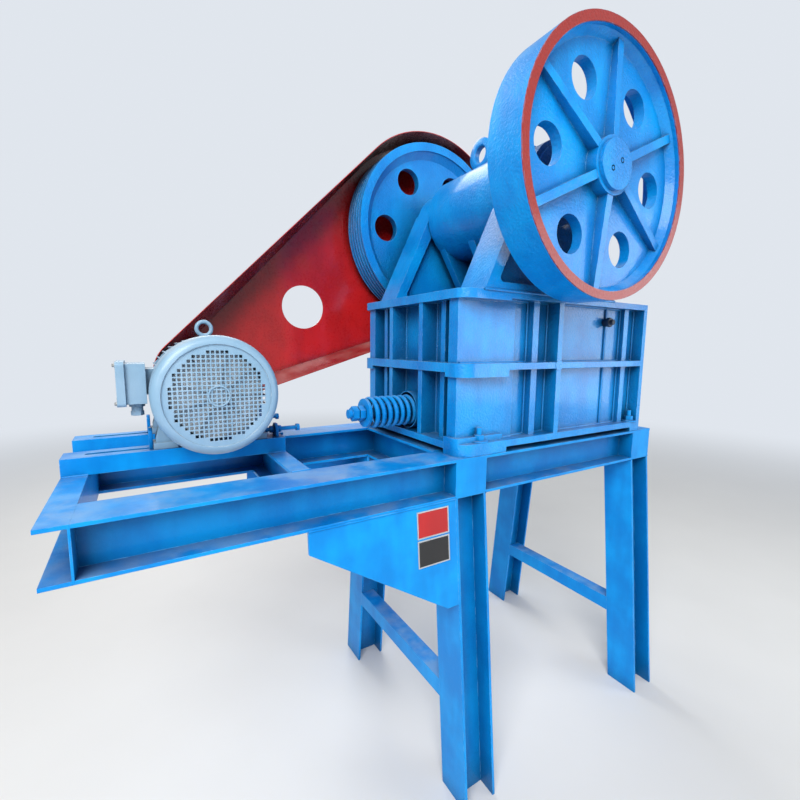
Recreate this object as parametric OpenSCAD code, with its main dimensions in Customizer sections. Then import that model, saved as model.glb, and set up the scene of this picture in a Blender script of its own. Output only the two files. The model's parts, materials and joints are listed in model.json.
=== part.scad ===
// Jaw crusher on a welded H-beam stand, with its motor, drive sheave, flywheel and belt guard.
// Millimetres, +Z up. The beams run along X, the shaft runs along Y with the flywheel at -Y.
// The origin is on the floor, at the middle of the object's outline.

/* [Stand] */
// Height of the beam tops above the floor
deck_h = 1150; // [1000:10:1400]
// Length of the stand along the long beams, end channel included
stand_len = 2085; // [2060:5:2300]
// Width of the stand over the outer edges of the long beams
stand_w = 725; // [700:5:800]
// Height and flange width of the H-section
h_size = 125; // [110:5:140]
// Thickness of the H-section's web
h_web = 6.5; // [5:0.5:9]
// Thickness of the H-section's flanges
h_flange = 9; // [7:0.5:12]
// Slope of the legs, sideways run for each unit of drop
leg_splay = 0.093; // [0.03:0.001:0.12]
// Distance from the stand's left end to the rear legs
rear_leg_x = 1007; // [980:1:1020]
// Distance from the stand's right end to the front legs
front_leg_in = 2; // [0:1:20]
// Flange length of the left end channel
channel_flange = 53; // [40:1:70]
// Thickness of the left end channel
channel_t = 5; // [4:0.5:8]
// Flange width of the cross channel beside the motor
cross_w = 55; // [40:1:80]
// Distance from the stand's left end to the cross channel
cross_x = 530; // [500:5:560]
// Width of the angle braces between the legs
brace_w = 60; // [50:1:80]
// Thickness of the angle braces
brace_t = 6; // [5:0.5:8]
// Height of the braces' top faces above the floor
brace_z = 365; // [300:5:600]
// Thickness of the gusset plates under the long beams
gusset_t = 8; // [6:1:12]
// Length of the gusset plates along the beams
gusset_len = 475; // [400:5:480]
// Depth of the gusset plates below the beams at the leg
gusset_h = 334; // [300:2:360]

/* [Motor] */
// Height of the motor's shaft above its feet
motor_h = 160; // [150:1:180]
// Distance from the stand's left end to the motor's shaft
motor_x = 370; // [340:5:385]
// Height of the motor rails above the beam tops
rail_h = 48; // [40:1:60]
// Width of the motor rails
rail_w = 80; // [70:1:100]
// Length of the motor rails along the beams
rail_len = 585; // [575:5:600]
// Wall of the motor rails
rail_t = 8; // [6:0.5:10]
// Distance between the motor's foot bolts, along the shaft and across it
foot_pitch = 254; // [240:2:280]
// Radius of the fan cowl
cowl_r = 163; // [158:0.5:165]
// Radius over the motor's cooling fins
fin_r = 158; // [150:1:165]
// Height of the cooling fins
fin_h = 17; // [10:1:25]
// Number of cooling fins over the top and the sides
fin_count = 31; // [21:2:41]
// Overall length of the motor from the cowl to the shaft's shoulder
motor_len = 540; // [520:5:600]
// Radius of the motor pulley
pulley_r = 75; // [65:1:78]

/* [Crusher body] */
// Length of the body's flanges along the beams
body_len = 976; // [960:2:1000]
// Width of the body's flanges across the beams
body_w = 670; // [650:2:690]
// Height of the body above the beams
body_h = 523; // [500:1:560]
// Distance of the body's rear flange from the stand's left end
body_x = 1022; // [1010:1:1030]
// How far the body sits off the middle of the stand, towards the flywheel
body_off = 24.5; // [0:0.5:30]
// Width of the crushing chamber between the side walls
chamber_w = 496; // [480:1:510]
// Thickness of the side walls at their raised panels
wall_t = 45; // [35:1:50]
// Thickness of the rear and front walls
end_wall_t = 45; // [35:1:50]
// Depth of the set-back panels in the side walls
recess = 12; // [6:1:16]
// Thickness of the flange bands along the sides
band_t = 22; // [16:1:28]
// Radius of the flange corners
flange_r = 50; // [30:1:70]
// Thickness of the full-depth ribs
rib_t = 23; // [14:1:28]

/* [Shaft and wheels] */
// Height of the shaft above the top flange
shaft_h = 364; // [355:1:400]
// Distance of the shaft from the body's rear flange
shaft_x = 411; // [400:1:420]
// Length of each bearing housing along the shaft
housing_w = 125; // [110:1:140]
// Outer radius of the bearing housings
housing_r = 127; // [115:1:135]
// Width of each pedestal at its foot, to one side of the shaft
pedestal_reach = 331; // [300:1:340]
// Radius of the shaft in its bearings
shaft_r = 55; // [45:1:60]
// Radius of the pitman's barrel
barrel_r = 169; // [160:1:180]
// Radius of the flywheel and the drive sheave
wheel_r = 393; // [380:1:400]
// Width of the flywheel's rim
wheel_w = 125; // [100:1:140]
// Radial thickness of the flywheel's rim
rim_t = 27; // [20:1:40]
// Thickness of the flywheel's web
web_t = 34; // [20:1:45]
// Depth of the web below the rim's near face
web_in = 40; // [20:1:60]
// Number of round openings in each wheel
opening_count = 6; // [4:1:8]
// Radius of the openings
opening_r = 57; // [45:1:62]
// Radius of the circle that the openings stand on
opening_pcd_r = 250; // [235:1:260]
// Radius of the flywheel's hub
hub_r = 84; // [75:1:95]
// Thickness of the hub cap
cap_t = 8; // [5:1:12]
// Gap between the flywheel and the bearing housing
wheel_gap = 59; // [50:1:70]
// Gap between the drive sheave and the bearing housing
sheave_gap = 57; // [50:1:70]
// Width of the drive sheave's rim
sheave_w = 130; // [115:1:140]
// Number of belt grooves
groove_count = 5; // [3:1:6]
// Depth of the belt grooves
groove_d = 15; // [8:1:18]

/* [Jaws] */
// Thickness of the jaw plates under their teeth
jaw_t = 42; // [30:1:50]
// Height of the jaw plates' teeth
tooth_h = 18; // [10:1:24]
// Number of teeth across each jaw plate
tooth_count = 8; // [6:1:12]
// Thickness of the cheek plates
cheek_t = 24; // [16:1:30]
// Width of the feed opening between the jaw plates
gape = 250; // [230:5:270]
// Width of the discharge gap between the jaw plates
discharge = 50; // [35:1:60]
// Thickness of the toggle plate
toggle_t = 38; // [24:1:45]
// Radius of the drawback rod
rod_r = 16; // [12:1:20]
// Outer radius of the drawback spring
spring_r = 57; // [45:1:60]
// Radius of the spring's wire
spring_wire = 9; // [6:0.5:11]
// Number of turns of the spring
spring_turns = 7; // [5:1:9]

/* [Belt guard] */
// Depth of the guard pan across the drive
guard_w = 158; // [150:1:165]
// Thickness of the guard's sheet
guard_t = 3; // [2:0.5:5]
// Gap between the drive sheave and the guard's back plate
guard_gap = 30; // [20:1:45]
// Radius of the guard's mouth round the drive sheave
guard_r = 441; // [430:1:460]
// Radius of the guard's mouth at the motor
guard_small_r = 141; // [130:1:160]
// How far the guard's wall leans in at the drive sheave, from the mouth to the back plate
guard_flare = 18; // [8:1:22]
// How far the guard's wall leans in at the motor
guard_small_flare = 47; // [20:1:50]
// Height of the guard's small end above the motor's shaft
guard_lift = 31; // [20:1:34]
// Diameter of the round window in the guard's back plate
window_d = 189; // [150:1:200]
// Distance of the window's middle from the shaft of the drive sheave, along the beams
window_back = 602; // [560:2:640]
// Height of the shaft of the drive sheave over the window's middle
window_drop = 372; // [350:2:390]

/* [Fits] */
// Radial play of a shaft in its bore
fit = 0.05; // [0.02:0.01:0.10]
// Play between curved seats on different pieces
seat = 0.3; // [0.2:0.1:0.5]

/* [Hidden] */
blue = [0.10, 0.42, 0.80];
motor_grey = [0.47, 0.62, 0.74];
guard_red = [0.62, 0.07, 0.07];
steel = [0.55, 0.57, 0.60];
dark_steel = [0.22, 0.22, 0.24];

// Lengthwise places
left_x = -stand_len / 2;
right_x = stand_len / 2;
body_x0 = left_x + body_x;
body_x1 = body_x0 + body_len;
axle_x = body_x0 + shaft_x;
drive_x = left_x + motor_x;
rear_leg_x0 = left_x + rear_leg_x;
front_leg_x0 = right_x - front_leg_in - h_size;

// Heights
beam_z0 = deck_h - h_size;
body_z1 = deck_h + body_h;
axle_z = body_z1 + shaft_h;
drive_z = deck_h + rail_h + motor_h;

// Crosswise places: the body sits so that the reach to both sides is the same
housing_y = body_w / 2;
near_reach = housing_y + wheel_gap + wheel_w + cap_t;
far_reach = housing_y + sheave_gap + sheave_w + guard_gap + guard_t;
mid_y = (near_reach - far_reach) / 2;
stand_y = mid_y + body_off;
near_beam_y = stand_y - stand_w / 2;
far_beam_y = stand_y + stand_w / 2 - h_size;
wheel_y0 = mid_y - housing_y - wheel_gap - wheel_w;
sheave_y0 = mid_y + housing_y + sheave_gap;
guard_y1 = sheave_y0 + sheave_w + guard_gap + guard_t;
guard_y0 = guard_y1 - guard_w;

// Motor: the shoulder of its shaft stands just inside the plane of the drive sheave
motor_y1 = sheave_y0 + 36;
motor_y0 = motor_y1 - motor_len;
shoulder_to_foot = 108;
foot_y = [motor_y1 - shoulder_to_foot - foot_pitch, motor_y1 - shoulder_to_foot];
cowl_len = 128;
cowl_t = 3;
shell_r = fin_r - fin_h;
shield_len = 62;
rail_top = deck_h + rail_h;
motor_shaft_r = 21;
motor_shaft_len = 110;
shaft_bore_r = motor_shaft_r + fit;

// Terminal box beside the motor
terminal_y0 = motor_y0 + 104;
terminal_len = 136;
terminal_h = 114;
terminal_z0 = -26;

// Crusher body, in its own axes: X from the rear flange edge, Y from the middle, Z from the beam tops
chamber_y = chamber_w / 2;
rear_face = 68;
end_plate_t = 22;
corner_len = 198;
mid_z = 295;
foot_z = 17;
foot_top = 40;
front_wall_x = body_len - end_wall_t;
tangent_r = 143;

// Jaws, in the body's own axes: the fixed face is upright, the moving face leans back
jaw_z0 = 30;
jaw_z1 = body_h - 3;
jaw_w = 400;
plate_t = jaw_t + tooth_h;
fixed_face = front_wall_x - plate_t;
swing_face_low = fixed_face - discharge;
swing_face_top = fixed_face - gape;
nip = atan((gape - discharge) / (jaw_z1 - jaw_z0));
axle_local = [shaft_x, body_h + shaft_h];

// Pitman, its pin and the ends of the toggle plate
barrel_len = body_w - 2 * housing_w - 10;
throw = 7;
ecc_r = shaft_r + 6;
ecc_len = barrel_len - 80;
seat_r = toggle_t / 2;
pitman_w = 404;
rod_z = 111;
pin_back = 189;
pin_local = [swing_face_low - pin_back, rod_z];
pin_r = 14;
eye_r = 30;
toggle_back = 215;
toggle_front = [swing_face_low - toggle_back, 196];
toggle_block_len = 109;
toggle_rear = [rear_face + end_wall_t + toggle_block_len, 206];
lug_y = 72;

// Ends of the drawback spring
spring_x0 = -155;
spring_x1 = 42;

// Wheels
wheel_seat_r = 46;
rib_phase = 26.5;
hub_in = 4;

// Guard bracket, just past the far motor rail
bracket_x = left_x + rail_len + 10;

// H-section standing on the origin, its web upright, in the plane of the paper
module h_section() {
    square([h_size, h_flange]);
    translate([0, h_size - h_flange]) square([h_size, h_flange]);
    translate([(h_size - h_web) / 2, h_flange]) square([h_web, h_size - 2 * h_flange]);
}

// A shape drawn in X-Z, extruded along +Y from y0 for len
module along_y(y0, len) {
    translate([0, y0 + len, 0]) rotate([90, 0, 0]) linear_extrude(len) children();
}

// A shape drawn in Y-Z, extruded along +X from x0 for len
module along_x(x0, len) {
    translate([x0, 0, 0]) rotate([90, 0, 90]) linear_extrude(len) children();
}

// Cylinder along +X from a point
module cyl_x(at, len, r) {
    translate(at) rotate([0, 90, 0]) cylinder(h = len, r = r);
}

// Cylinder along +Y from a point
module cyl_y(at, len, r) {
    translate(at) rotate([-90, 0, 0]) cylinder(h = len, r = r);
}

// A box given by its two corners
module block(a, b) {
    translate(a) cube(b - a);
}

// A plan outline with round corners, drawn round the origin
module round_rect(size, r) {
    square([size[0] - 2 * r, size[1]], center = true);
    square([size[0], size[1] - 2 * r], center = true);
    for (sx = [-1, 1]) for (sy = [-1, 1])
        translate([sx * (size[0] / 2 - r), sy * (size[1] / 2 - r)]) circle(r, $fn = 48);
}

// Long beam with the stiffeners that stand under the crusher body's corners
module long_beam(y0, outer) {
    x0 = left_x + channel_flange + channel_t;
    stiff_y = outer < 0 ? y0 : y0 + (h_size + h_web) / 2;
    color(blue) {
        along_x(x0, right_x - x0) translate([y0, beam_z0]) h_section();
        for (x = [rear_leg_x0, front_leg_x0])
            block([x, stiff_y, beam_z0 + h_flange],
                [x + h_size, stiff_y + (h_size - h_web) / 2, deck_h - h_flange]);
    }
}
module near_long_beam() { long_beam(near_beam_y, -1); }
module far_long_beam() { long_beam(far_beam_y, 1); }

// Channel that closes the left end, its flanges pointing away from the stand
module left_end_channel() {
    color(blue) along_y(near_beam_y, stand_w) {
        translate([left_x + channel_flange, beam_z0]) square([channel_t, h_size]);
        for (z = [beam_z0, deck_h - h_flange])
            translate([left_x, z]) square([channel_flange, h_flange]);
    }
}

// Channel between the long beams beside the motor
module middle_cross_channel() {
    color(blue) cross_piece() translate([left_x + cross_x, beam_z0]) {
        translate([cross_w - h_web, 0]) square([h_web, h_size]);
        for (z = [0, h_size - h_flange])
            translate([0, z]) square([cross_w, h_flange]);
    }
}

// A shape in X-Z carried by the long beams, coped so that it reaches their webs between their flanges
module cross_piece() {
    web_y = near_beam_y + (h_size + h_web) / 2;
    web_gap = stand_w - h_size - h_web;
    intersection() {
        along_y(web_y, web_gap) children();
        union() {
            block([left_x, web_y, beam_z0 + h_flange], [right_x, web_y + web_gap, deck_h - h_flange]);
            block([left_x, near_beam_y + h_size, beam_z0], [right_x, far_beam_y, deck_h]);
        }
    }
}

// Cross beam that carries one end of the crusher body
module cross_beam(x0) {
    color(blue) cross_piece() translate([x0, beam_z0]) h_section();
}
module rear_cross_beam() { cross_beam(rear_leg_x0); }
module front_cross_beam() { cross_beam(front_leg_x0); }

// Leg of H-section, its flanges across the beams, leaning outwards towards the floor
module leg(x0, y_top, side) {
    foot_y = side * leg_splay * beam_z0;
    color(blue) {
        for (x = [0, h_size - h_flange])
            along_x(x0 + x, h_flange) polygon([
                [y_top, beam_z0], [y_top + h_size, beam_z0],
                [y_top + h_size + foot_y, 0], [y_top + foot_y, 0]]);
        along_x(x0 + h_flange, h_size - 2 * h_flange) translate([(h_size - h_web) / 2, 0]) polygon([
            [y_top, beam_z0], [y_top + h_web, beam_z0],
            [y_top + h_web + foot_y, 0], [y_top + foot_y, 0]]);
    }
}
module rear_near_leg() { leg(rear_leg_x0, near_beam_y, -1); }
module rear_far_leg() { leg(rear_leg_x0, far_beam_y, 1); }
module front_near_leg() { leg(front_leg_x0, near_beam_y, -1); }
module front_far_leg() { leg(front_leg_x0, far_beam_y, 1); }

// Angle brace between two legs, cut to their slope
module leg_brace(x0) {
    drop = beam_z0 - brace_z;
    inner = stand_w / 2 - h_size;
    color(blue) intersection() {
        along_y(stand_y - stand_w, 2 * stand_w) translate([x0, brace_z - brace_w]) {
            square([brace_t, brace_w]);
            translate([0, brace_w - brace_t]) square([brace_w, brace_t]);
        }
        along_x(x0 - 1, brace_w + 2) polygon([
            [stand_y - inner - leg_splay * (drop - brace_w), brace_z + brace_w],
            [stand_y + inner + leg_splay * (drop - brace_w), brace_z + brace_w],
            [stand_y + inner + leg_splay * (drop + 2 * brace_w), brace_z - 2 * brace_w],
            [stand_y - inner - leg_splay * (drop + 2 * brace_w), brace_z - 2 * brace_w]]);
    }
}
module rear_leg_brace() { leg_brace(rear_leg_x0); }
module front_leg_brace() { leg_brace(front_leg_x0); }

// Gusset plate in the plane of the leg's outer edge, its lower corner cut back
module gusset(side) {
    edge_y = stand_y + side * stand_w / 2;
    x0 = rear_leg_x0 - gusset_len;
    lean = [for (d = [0, gusset_h]) edge_y + side * leg_splay * d];
    color(blue) intersection() {
        along_y(-stand_w, 2 * stand_w) polygon([
            [x0, beam_z0], [x0, beam_z0 - gusset_h * 0.18],
            [rear_leg_x0 - gusset_h * 0.24, beam_z0 - gusset_h * 0.93],
            [rear_leg_x0 - gusset_h * 0.13, beam_z0 - gusset_h],
            [rear_leg_x0, beam_z0 - gusset_h], [rear_leg_x0, beam_z0]]);
        along_x(x0, gusset_len) polygon([
            [lean[0], beam_z0], [lean[1], beam_z0 - gusset_h],
            [lean[1] - side * gusset_t, beam_z0 - gusset_h], [lean[0] - side * gusset_t, beam_z0]]);
    }
}
module near_gusset() { gusset(-1); }
module far_gusset() { gusset(1); }

// Motor rail: an upturned channel with a long slot for the foot bolts
module motor_rail(y) {
    slot_w = 19;
    slot_in = 60;
    color(blue) difference() {
        union() {
            block([left_x, y - rail_w / 2, rail_top - rail_t],
                [left_x + rail_len, y + rail_w / 2, rail_top]);
            for (side = [-1, 1]) translate([left_x, y + side * (rail_w - rail_t) / 2 - rail_t / 2, deck_h])
                cube([rail_len, rail_t, rail_h]);
            for (x = [left_x, left_x + rail_len - rail_t])
                block([x, y - rail_w / 2, deck_h], [x + rail_t, y + rail_w / 2, rail_top]);
        }
        hull() for (x = [left_x + slot_in, left_x + rail_len - slot_in])
            translate([x, y, rail_top - rail_t - 1]) cylinder(h = rail_t + 2, d = slot_w, $fn = 24);
    }
}
module near_motor_rail() { motor_rail(foot_y[0]); }
module far_motor_rail() { motor_rail(foot_y[1]); }

// Cast frame of the motor: ribbed shell, lugs for the cowl, four feet and the seat of the terminal box
module motor_frame() {
    foot_w = 62;
    foot_t = 18;
    foot_hole_d = 15;
    box_seat_w = 26;
    lug_w = 14;
    foot_reach = foot_pitch / 2 + foot_w / 2;
    y0 = motor_y0 + cowl_len - 18;
    y1 = motor_y1 - shield_len;
    fin_t = 4;
    color(motor_grey) difference() {
        translate([drive_x, 0, drive_z]) {
            translate([0, y1, 0]) rotate([90, 0, 0]) cylinder(h = y1 - y0, r = shell_r, $fn = 72);
            for (i = [0 : fin_count - 1]) {
                turn = -42 + i * 264 / (fin_count - 1);
                if (turn < 155 || turn > 190)
                    rotate([0, -turn, 0]) translate([0, y0 + 24, -fin_t / 2])
                        cube([fin_r, y1 - y0 - 34, fin_t]);
            }
            for (turn = [45 : 90 : 315]) rotate([0, turn, 0])
                block([shell_r - 8, y0 + 2, -lug_w / 2], [cowl_r - cowl_t - seat, y0 + lug_w, lug_w / 2]);
            for (y = foot_y) for (side = [-1, 1]) {
                translate([side * (foot_reach - foot_w / 2) - foot_w / 2, y - foot_w / 2, -motor_h])
                    cube([foot_w, foot_w, foot_t]);
                along_y(y - foot_w / 2 + 6, 10) foot_web(side, foot_reach);
                along_y(y + foot_w / 2 - 16, 10) foot_web(side, foot_reach);
            }
            block([-shell_r - box_seat_w, motor_y0 + cowl_len, 0],
                [34 - shell_r, terminal_y0 + terminal_len, 70]);
        }
        for (y = foot_y) for (side = [-1, 1])
            translate([drive_x + side * foot_pitch / 2, y, rail_top - 1])
                cylinder(h = foot_t + 2, d = foot_hole_d, $fn = 24);
    }
}

// Web between a foot and the motor's shell, in X-Z round the shaft
module foot_web(side, reach) {
    polygon([[side * (reach - 6), -motor_h], [side * (reach - 6), -motor_h + 30],
        [side * shell_r * 0.92, -shell_r * 0.35], [side * shell_r * 0.3, -shell_r * 0.9],
        [side * (reach - 60), -motor_h]]);
}

// Fan cowl: a deep cup with a rounded rim and a sunk face
module fan_cowl() {
    rim = 22;
    face_r = 139;
    sink = 4;
    color(motor_grey) translate([drive_x, motor_y0, drive_z]) rotate([-90, 0, 0])
        rotate_extrude($fn = 72) difference() {
            union() {
                translate([0, rim]) square([cowl_r, cowl_len - rim]);
                square([cowl_r - rim, rim]);
                intersection() {
                    translate([cowl_r - rim, rim]) circle(rim, $fn = 48);
                    square([cowl_r, rim]);
                }
            }
            square([face_r, sink]);
            translate([0, rim]) square([cowl_r - cowl_t, cowl_len]);
            translate([0, sink + cowl_t]) square([cowl_r - rim, cowl_len]);
        }
}

// Drive-end shield with its bearing cap
module motor_end_shield() {
    y1 = motor_y1 - shield_len;
    color(motor_grey) translate([drive_x, y1, drive_z]) rotate([-90, 0, 0])
        rotate_extrude($fn = 72) polygon([
            [shaft_bore_r, 0], [shell_r + 9, 0], [shell_r + 9, 10], [shell_r - 8, 12], [92, 30],
            [88, shield_len - 14], [70, shield_len - 12], [68, shield_len - 3],
            [shaft_bore_r, shield_len - 3]]);
}

// Motor shaft, from the end shield to past the pulley
module motor_shaft() {
    color(steel) translate([drive_x, motor_y1 - shield_len, drive_z]) rotate([-90, 0, 0])
        cylinder(h = shield_len + motor_shaft_len, r = motor_shaft_r, $fn = 48);
}

// Wedge grooves of a belt wheel, as a profile to cut from its rim, radius along X and width along Y
module groove_profile(r, y0, width, count, depth) {
    pitch = width / count;
    for (i = [0 : count - 1]) translate([r, y0 + (i + 0.5) * pitch])
        polygon([[1, -pitch * 0.36], [1, pitch * 0.36], [-depth, pitch * 0.2], [-depth, -pitch * 0.2]]);
}

// Grooved pulley on the motor's shaft, in line with the drive sheave
module motor_pulley() {
    y0 = motor_y1 + 4;
    width = sheave_y0 + sheave_w - y0;
    color(motor_grey) translate([drive_x, y0, drive_z]) rotate([-90, 0, 0])
        rotate_extrude($fn = 72) difference() {
            translate([shaft_bore_r, 0]) square([pulley_r - shaft_bore_r, width]);
            groove_profile(pulley_r, 2, width - 4, groove_count, groove_d);
        }
}

// Terminal box on the side of the motor, with its raised lid and the cable gland under it
module terminal_box() {
    seat_x = shell_r + 26;
    box_w = 48;
    lid_w = 20;
    color(motor_grey) translate([drive_x, 0, drive_z + terminal_z0]) {
        block([-seat_x - box_w, terminal_y0 + 4, 3],
            [-seat_x, terminal_y0 + terminal_len - 4, terminal_h - 3]);
        along_x(-seat_x - box_w - lid_w, lid_w)
            translate([terminal_y0 + terminal_len / 2, terminal_h / 2])
                round_rect([terminal_len + 8, terminal_h + 6], 10);
        translate([-seat_x - box_w / 2, terminal_y0 + 40, 3]) rotate([180, 0, 0]) {
            cylinder(h = 10, r = 19, $fn = 6);
            cylinder(h = 22, r = 14, $fn = 32);
            translate([0, 0, 22]) cylinder(h = 12, r = 16, $fn = 6);
        }
    }
}

// Lifting eye on top of the motor
module lifting_eye() {
    ring_r = 21;
    bar_r = 6;
    eye_y = motor_y0 + 254;
    color(motor_grey) translate([drive_x, eye_y, drive_z + fin_r]) {
        cylinder(h = 8, r = 15, $fn = 32);
        translate([0, 0, 8 + ring_r]) rotate([90, 0, 0]) rotate_extrude($fn = 48)
            translate([ring_r, 0]) circle(bar_r, $fn = 24);
    }
}

// Places a child drawn in the body's own axes
module in_body() {
    translate([body_x0, mid_y, deck_h]) children();
}

// Band of the flange outline between two heights, cut to the given span of X and Y, its rear corners round
module flange_band(z0, z1, x0, x1, y0, y1) {
    intersection() {
        translate([0, 0, z0]) linear_extrude(z1 - z0) {
            translate([body_len / 2, 0]) round_rect([body_len, body_w], flange_r);
            translate([body_len / 2, -body_w / 2]) square([body_len / 2, body_w]);
        }
        block([x0, y0, z0], [x1, y1, z1]);
    }
}

// Side wall with its flange bands, ribs, corner posts and the end of the front plate
module side_frame(side) {
    outer = chamber_y + wall_t;
    edge = body_w / 2;
    wall_x0 = 13;
    rear_panel_x = 258;
    front_panel_in = 218;
    front_rib_in = 118;
    rib_xs = [328, body_len - front_rib_in];
    main_rib_x = 430;
    rib_rise = 17;
    knob_len = 14;
    front_foot_len = 63;
    fillet_h = 18;
    color(blue) in_body() mirror([0, side > 0 ? 0 : 1, 0]) {
        difference() {
            block([wall_x0, chamber_y, foot_z], [body_len - end_plate_t, outer, body_h]);
            for (z = [[foot_top, mid_z - band_t], [mid_z, body_h - band_t]]) {
                block([rear_panel_x, outer - recess, z[0]], [main_rib_x, outer + 1, z[1]]);
                block([body_len - front_panel_in, outer - recess / 3, z[0]],
                    [body_len - end_plate_t + 1, outer + 1, z[1]]);
            }
        }
        flange_band(body_h - band_t, body_h, 0, body_len, chamber_y, edge);
        flange_band(mid_z - band_t, mid_z, 0, body_len, chamber_y, edge);
        flange_band(foot_z, foot_top, 0, body_len, chamber_y, edge);
        flange_band(body_h - band_t - 7, body_h - band_t, 0, corner_len, chamber_y, edge);
        flange_band(mid_z - 2 * band_t, mid_z - band_t, 0, corner_len, chamber_y, edge);
        flange_band(0, foot_z, 0, corner_len, chamber_y, edge);
        flange_band(foot_top, foot_top + fillet_h, 0, corner_len, chamber_y, outer + 20);
        flange_band(0, foot_z, body_len - front_foot_len, body_len, chamber_y, edge);
        block([body_len - end_plate_t, chamber_y, foot_z], [body_len, edge, body_h]);
        block([main_rib_x, outer - recess, foot_top], [main_rib_x + rib_t, edge, body_h - band_t]);
        cyl_y([main_rib_x + rib_t / 2, edge + 2 - knob_len, mid_z - band_t / 2], knob_len,
            rib_t * 0.8, $fn = 32);
        for (x = rib_xs) for (z = [[foot_top, mid_z - band_t], [mid_z, body_h - band_t]])
            block([x, outer - recess, z[0]], [x + rib_t + 5, outer + rib_rise, z[1]]);
    }
}
module near_side_frame() { side_frame(-1); }
module far_side_frame() { side_frame(1); }

// Rear wall between the side walls, with its ribs and the hole for the drawback rod
module rear_frame_wall() {
    inner = rear_face + end_wall_t;
    color(blue) in_body() difference() {
        union() {
            block([rear_face, -chamber_y, foot_z], [inner, chamber_y, body_h]);
            flange_band(body_h - band_t - 7, body_h, 0, inner, -chamber_y, chamber_y);
            flange_band(mid_z - 30, mid_z, 0, inner, -chamber_y, chamber_y);
            flange_band(foot_z, foot_top, 0, inner, -chamber_y, chamber_y);
            for (y = [-101, 101])
                block([4, y - rib_t / 2, foot_top], [rear_face, y + rib_t / 2, body_h - band_t]);
            for (y = [-192, 192])
                block([33, y - rib_t / 2, foot_top], [rear_face, y + rib_t / 2, body_h - band_t]);
        }
        cyl_x([rear_face - 1, 0, rod_z], end_wall_t + 2, rod_r + 8, $fn = 48);
    }
}

// Front wall between the side walls, behind the fixed jaw plate
module front_frame_wall() {
    color(blue) in_body() {
        block([front_wall_x, -chamber_y, foot_z], [body_len, chamber_y, body_h]);
        block([front_wall_x, -chamber_y, 0], [body_len, chamber_y, foot_z]);
    }
}

// Pedestal with its bearing housing, one casting, drawn in X-Z round the shaft
module pedestal_outline(inset, base) {
    reach = norm([pedestal_reach, shaft_h]);
    lean = atan2(shaft_h, pedestal_reach) + asin(tangent_r / reach);
    turn = 90 - lean;
    polygon([
        [-pedestal_reach + inset / sin(lean), -shaft_h + base],
        [-(tangent_r - inset) * cos(turn), (tangent_r - inset) * sin(turn)],
        [(tangent_r - inset) * cos(turn), (tangent_r - inset) * sin(turn)],
        [pedestal_reach - inset / sin(lean), -shaft_h + base]]);
}

module pedestal(side) {
    y0 = mid_y + (side > 0 ? housing_y - housing_w : -housing_y);
    pocket = 30;
    foot_t = 24;
    color(blue) translate([axle_x, 0, axle_z]) difference() {
        union() {
            along_y(y0, housing_w) intersection() {
                pedestal_outline(0, 0);
                translate([-pedestal_reach, -shaft_h]) square([2 * pedestal_reach, shaft_h + tangent_r]);
            }
            cyl_y([0, y0, 0], housing_w, housing_r + 16, $fn = 96);
        }
        for (y = [y0 - 1, y0 + housing_w - pocket])
            along_y(y, pocket + 1) difference() {
                hull() {
                    for (x = [-1, 1]) translate([x * (pedestal_reach - 78), -shaft_h + foot_t + 16])
                        circle(14, $fn = 24);
                    translate([0, 10]) circle(tangent_r - 50, $fn = 32);
                }
                circle(housing_r, $fn = 96);
            }
        for (y = [y0 - 1, y0 + housing_w - 12])
            translate([0, y, 0]) rotate([-90, 0, 0]) difference() {
                cylinder(h = 13, r = housing_r + 20, $fn = 96);
                translate([0, 0, -1]) cylinder(h = 15, r = housing_r, $fn = 96);
                translate([-pedestal_reach, 0, -1]) cube([2 * pedestal_reach, shaft_h, 20]);
            }
        cyl_y([0, y0 - 1, 0], housing_w + 2, shaft_r + fit, $fn = 96);
    }
}
module near_pedestal() { pedestal(-1); }
module far_pedestal() { pedestal(1); }

// Toothed jaw plate: its back on Y-Z at X = 0, the teeth pointing along +X, the foot at the origin
module jaw_plate(height) {
    pitch = jaw_w / tooth_count;
    linear_extrude(height) {
        translate([0, -jaw_w / 2]) square([jaw_t, jaw_w]);
        for (i = [0 : tooth_count - 1]) translate([jaw_t, -jaw_w / 2 + (i + 0.5) * pitch]) polygon([
            [0, -pitch * 0.46], [tooth_h, -pitch * 0.14], [tooth_h, pitch * 0.14], [0, pitch * 0.46]]);
    }
}
module fixed_jaw_plate() {
    color(steel) in_body() translate([front_wall_x, 0, jaw_z0]) mirror([1, 0, 0])
        jaw_plate(jaw_z1 - jaw_z0);
}
module swing_jaw_plate() {
    color(steel) in_body() translate([swing_face_low, 0, jaw_z0]) rotate([0, -nip, 0])
        translate([-plate_t, 0, 0]) jaw_plate((jaw_z1 - jaw_z0) / cos(nip));
}

// Cheek plate that lines a side wall beside the jaws
module cheek_plate(side) {
    y0 = side > 0 ? chamber_y - cheek_t : -chamber_y;
    gap = 1;
    color(steel) in_body() along_y(y0, cheek_t) polygon([
        [swing_face_low - 70, jaw_z0], [front_wall_x - gap, jaw_z0],
        [front_wall_x - gap, jaw_z1], [swing_face_top - 60, jaw_z1]]);
}
module near_cheek_plate() { cheek_plate(-1); }
module far_cheek_plate() { cheek_plate(1); }

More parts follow.
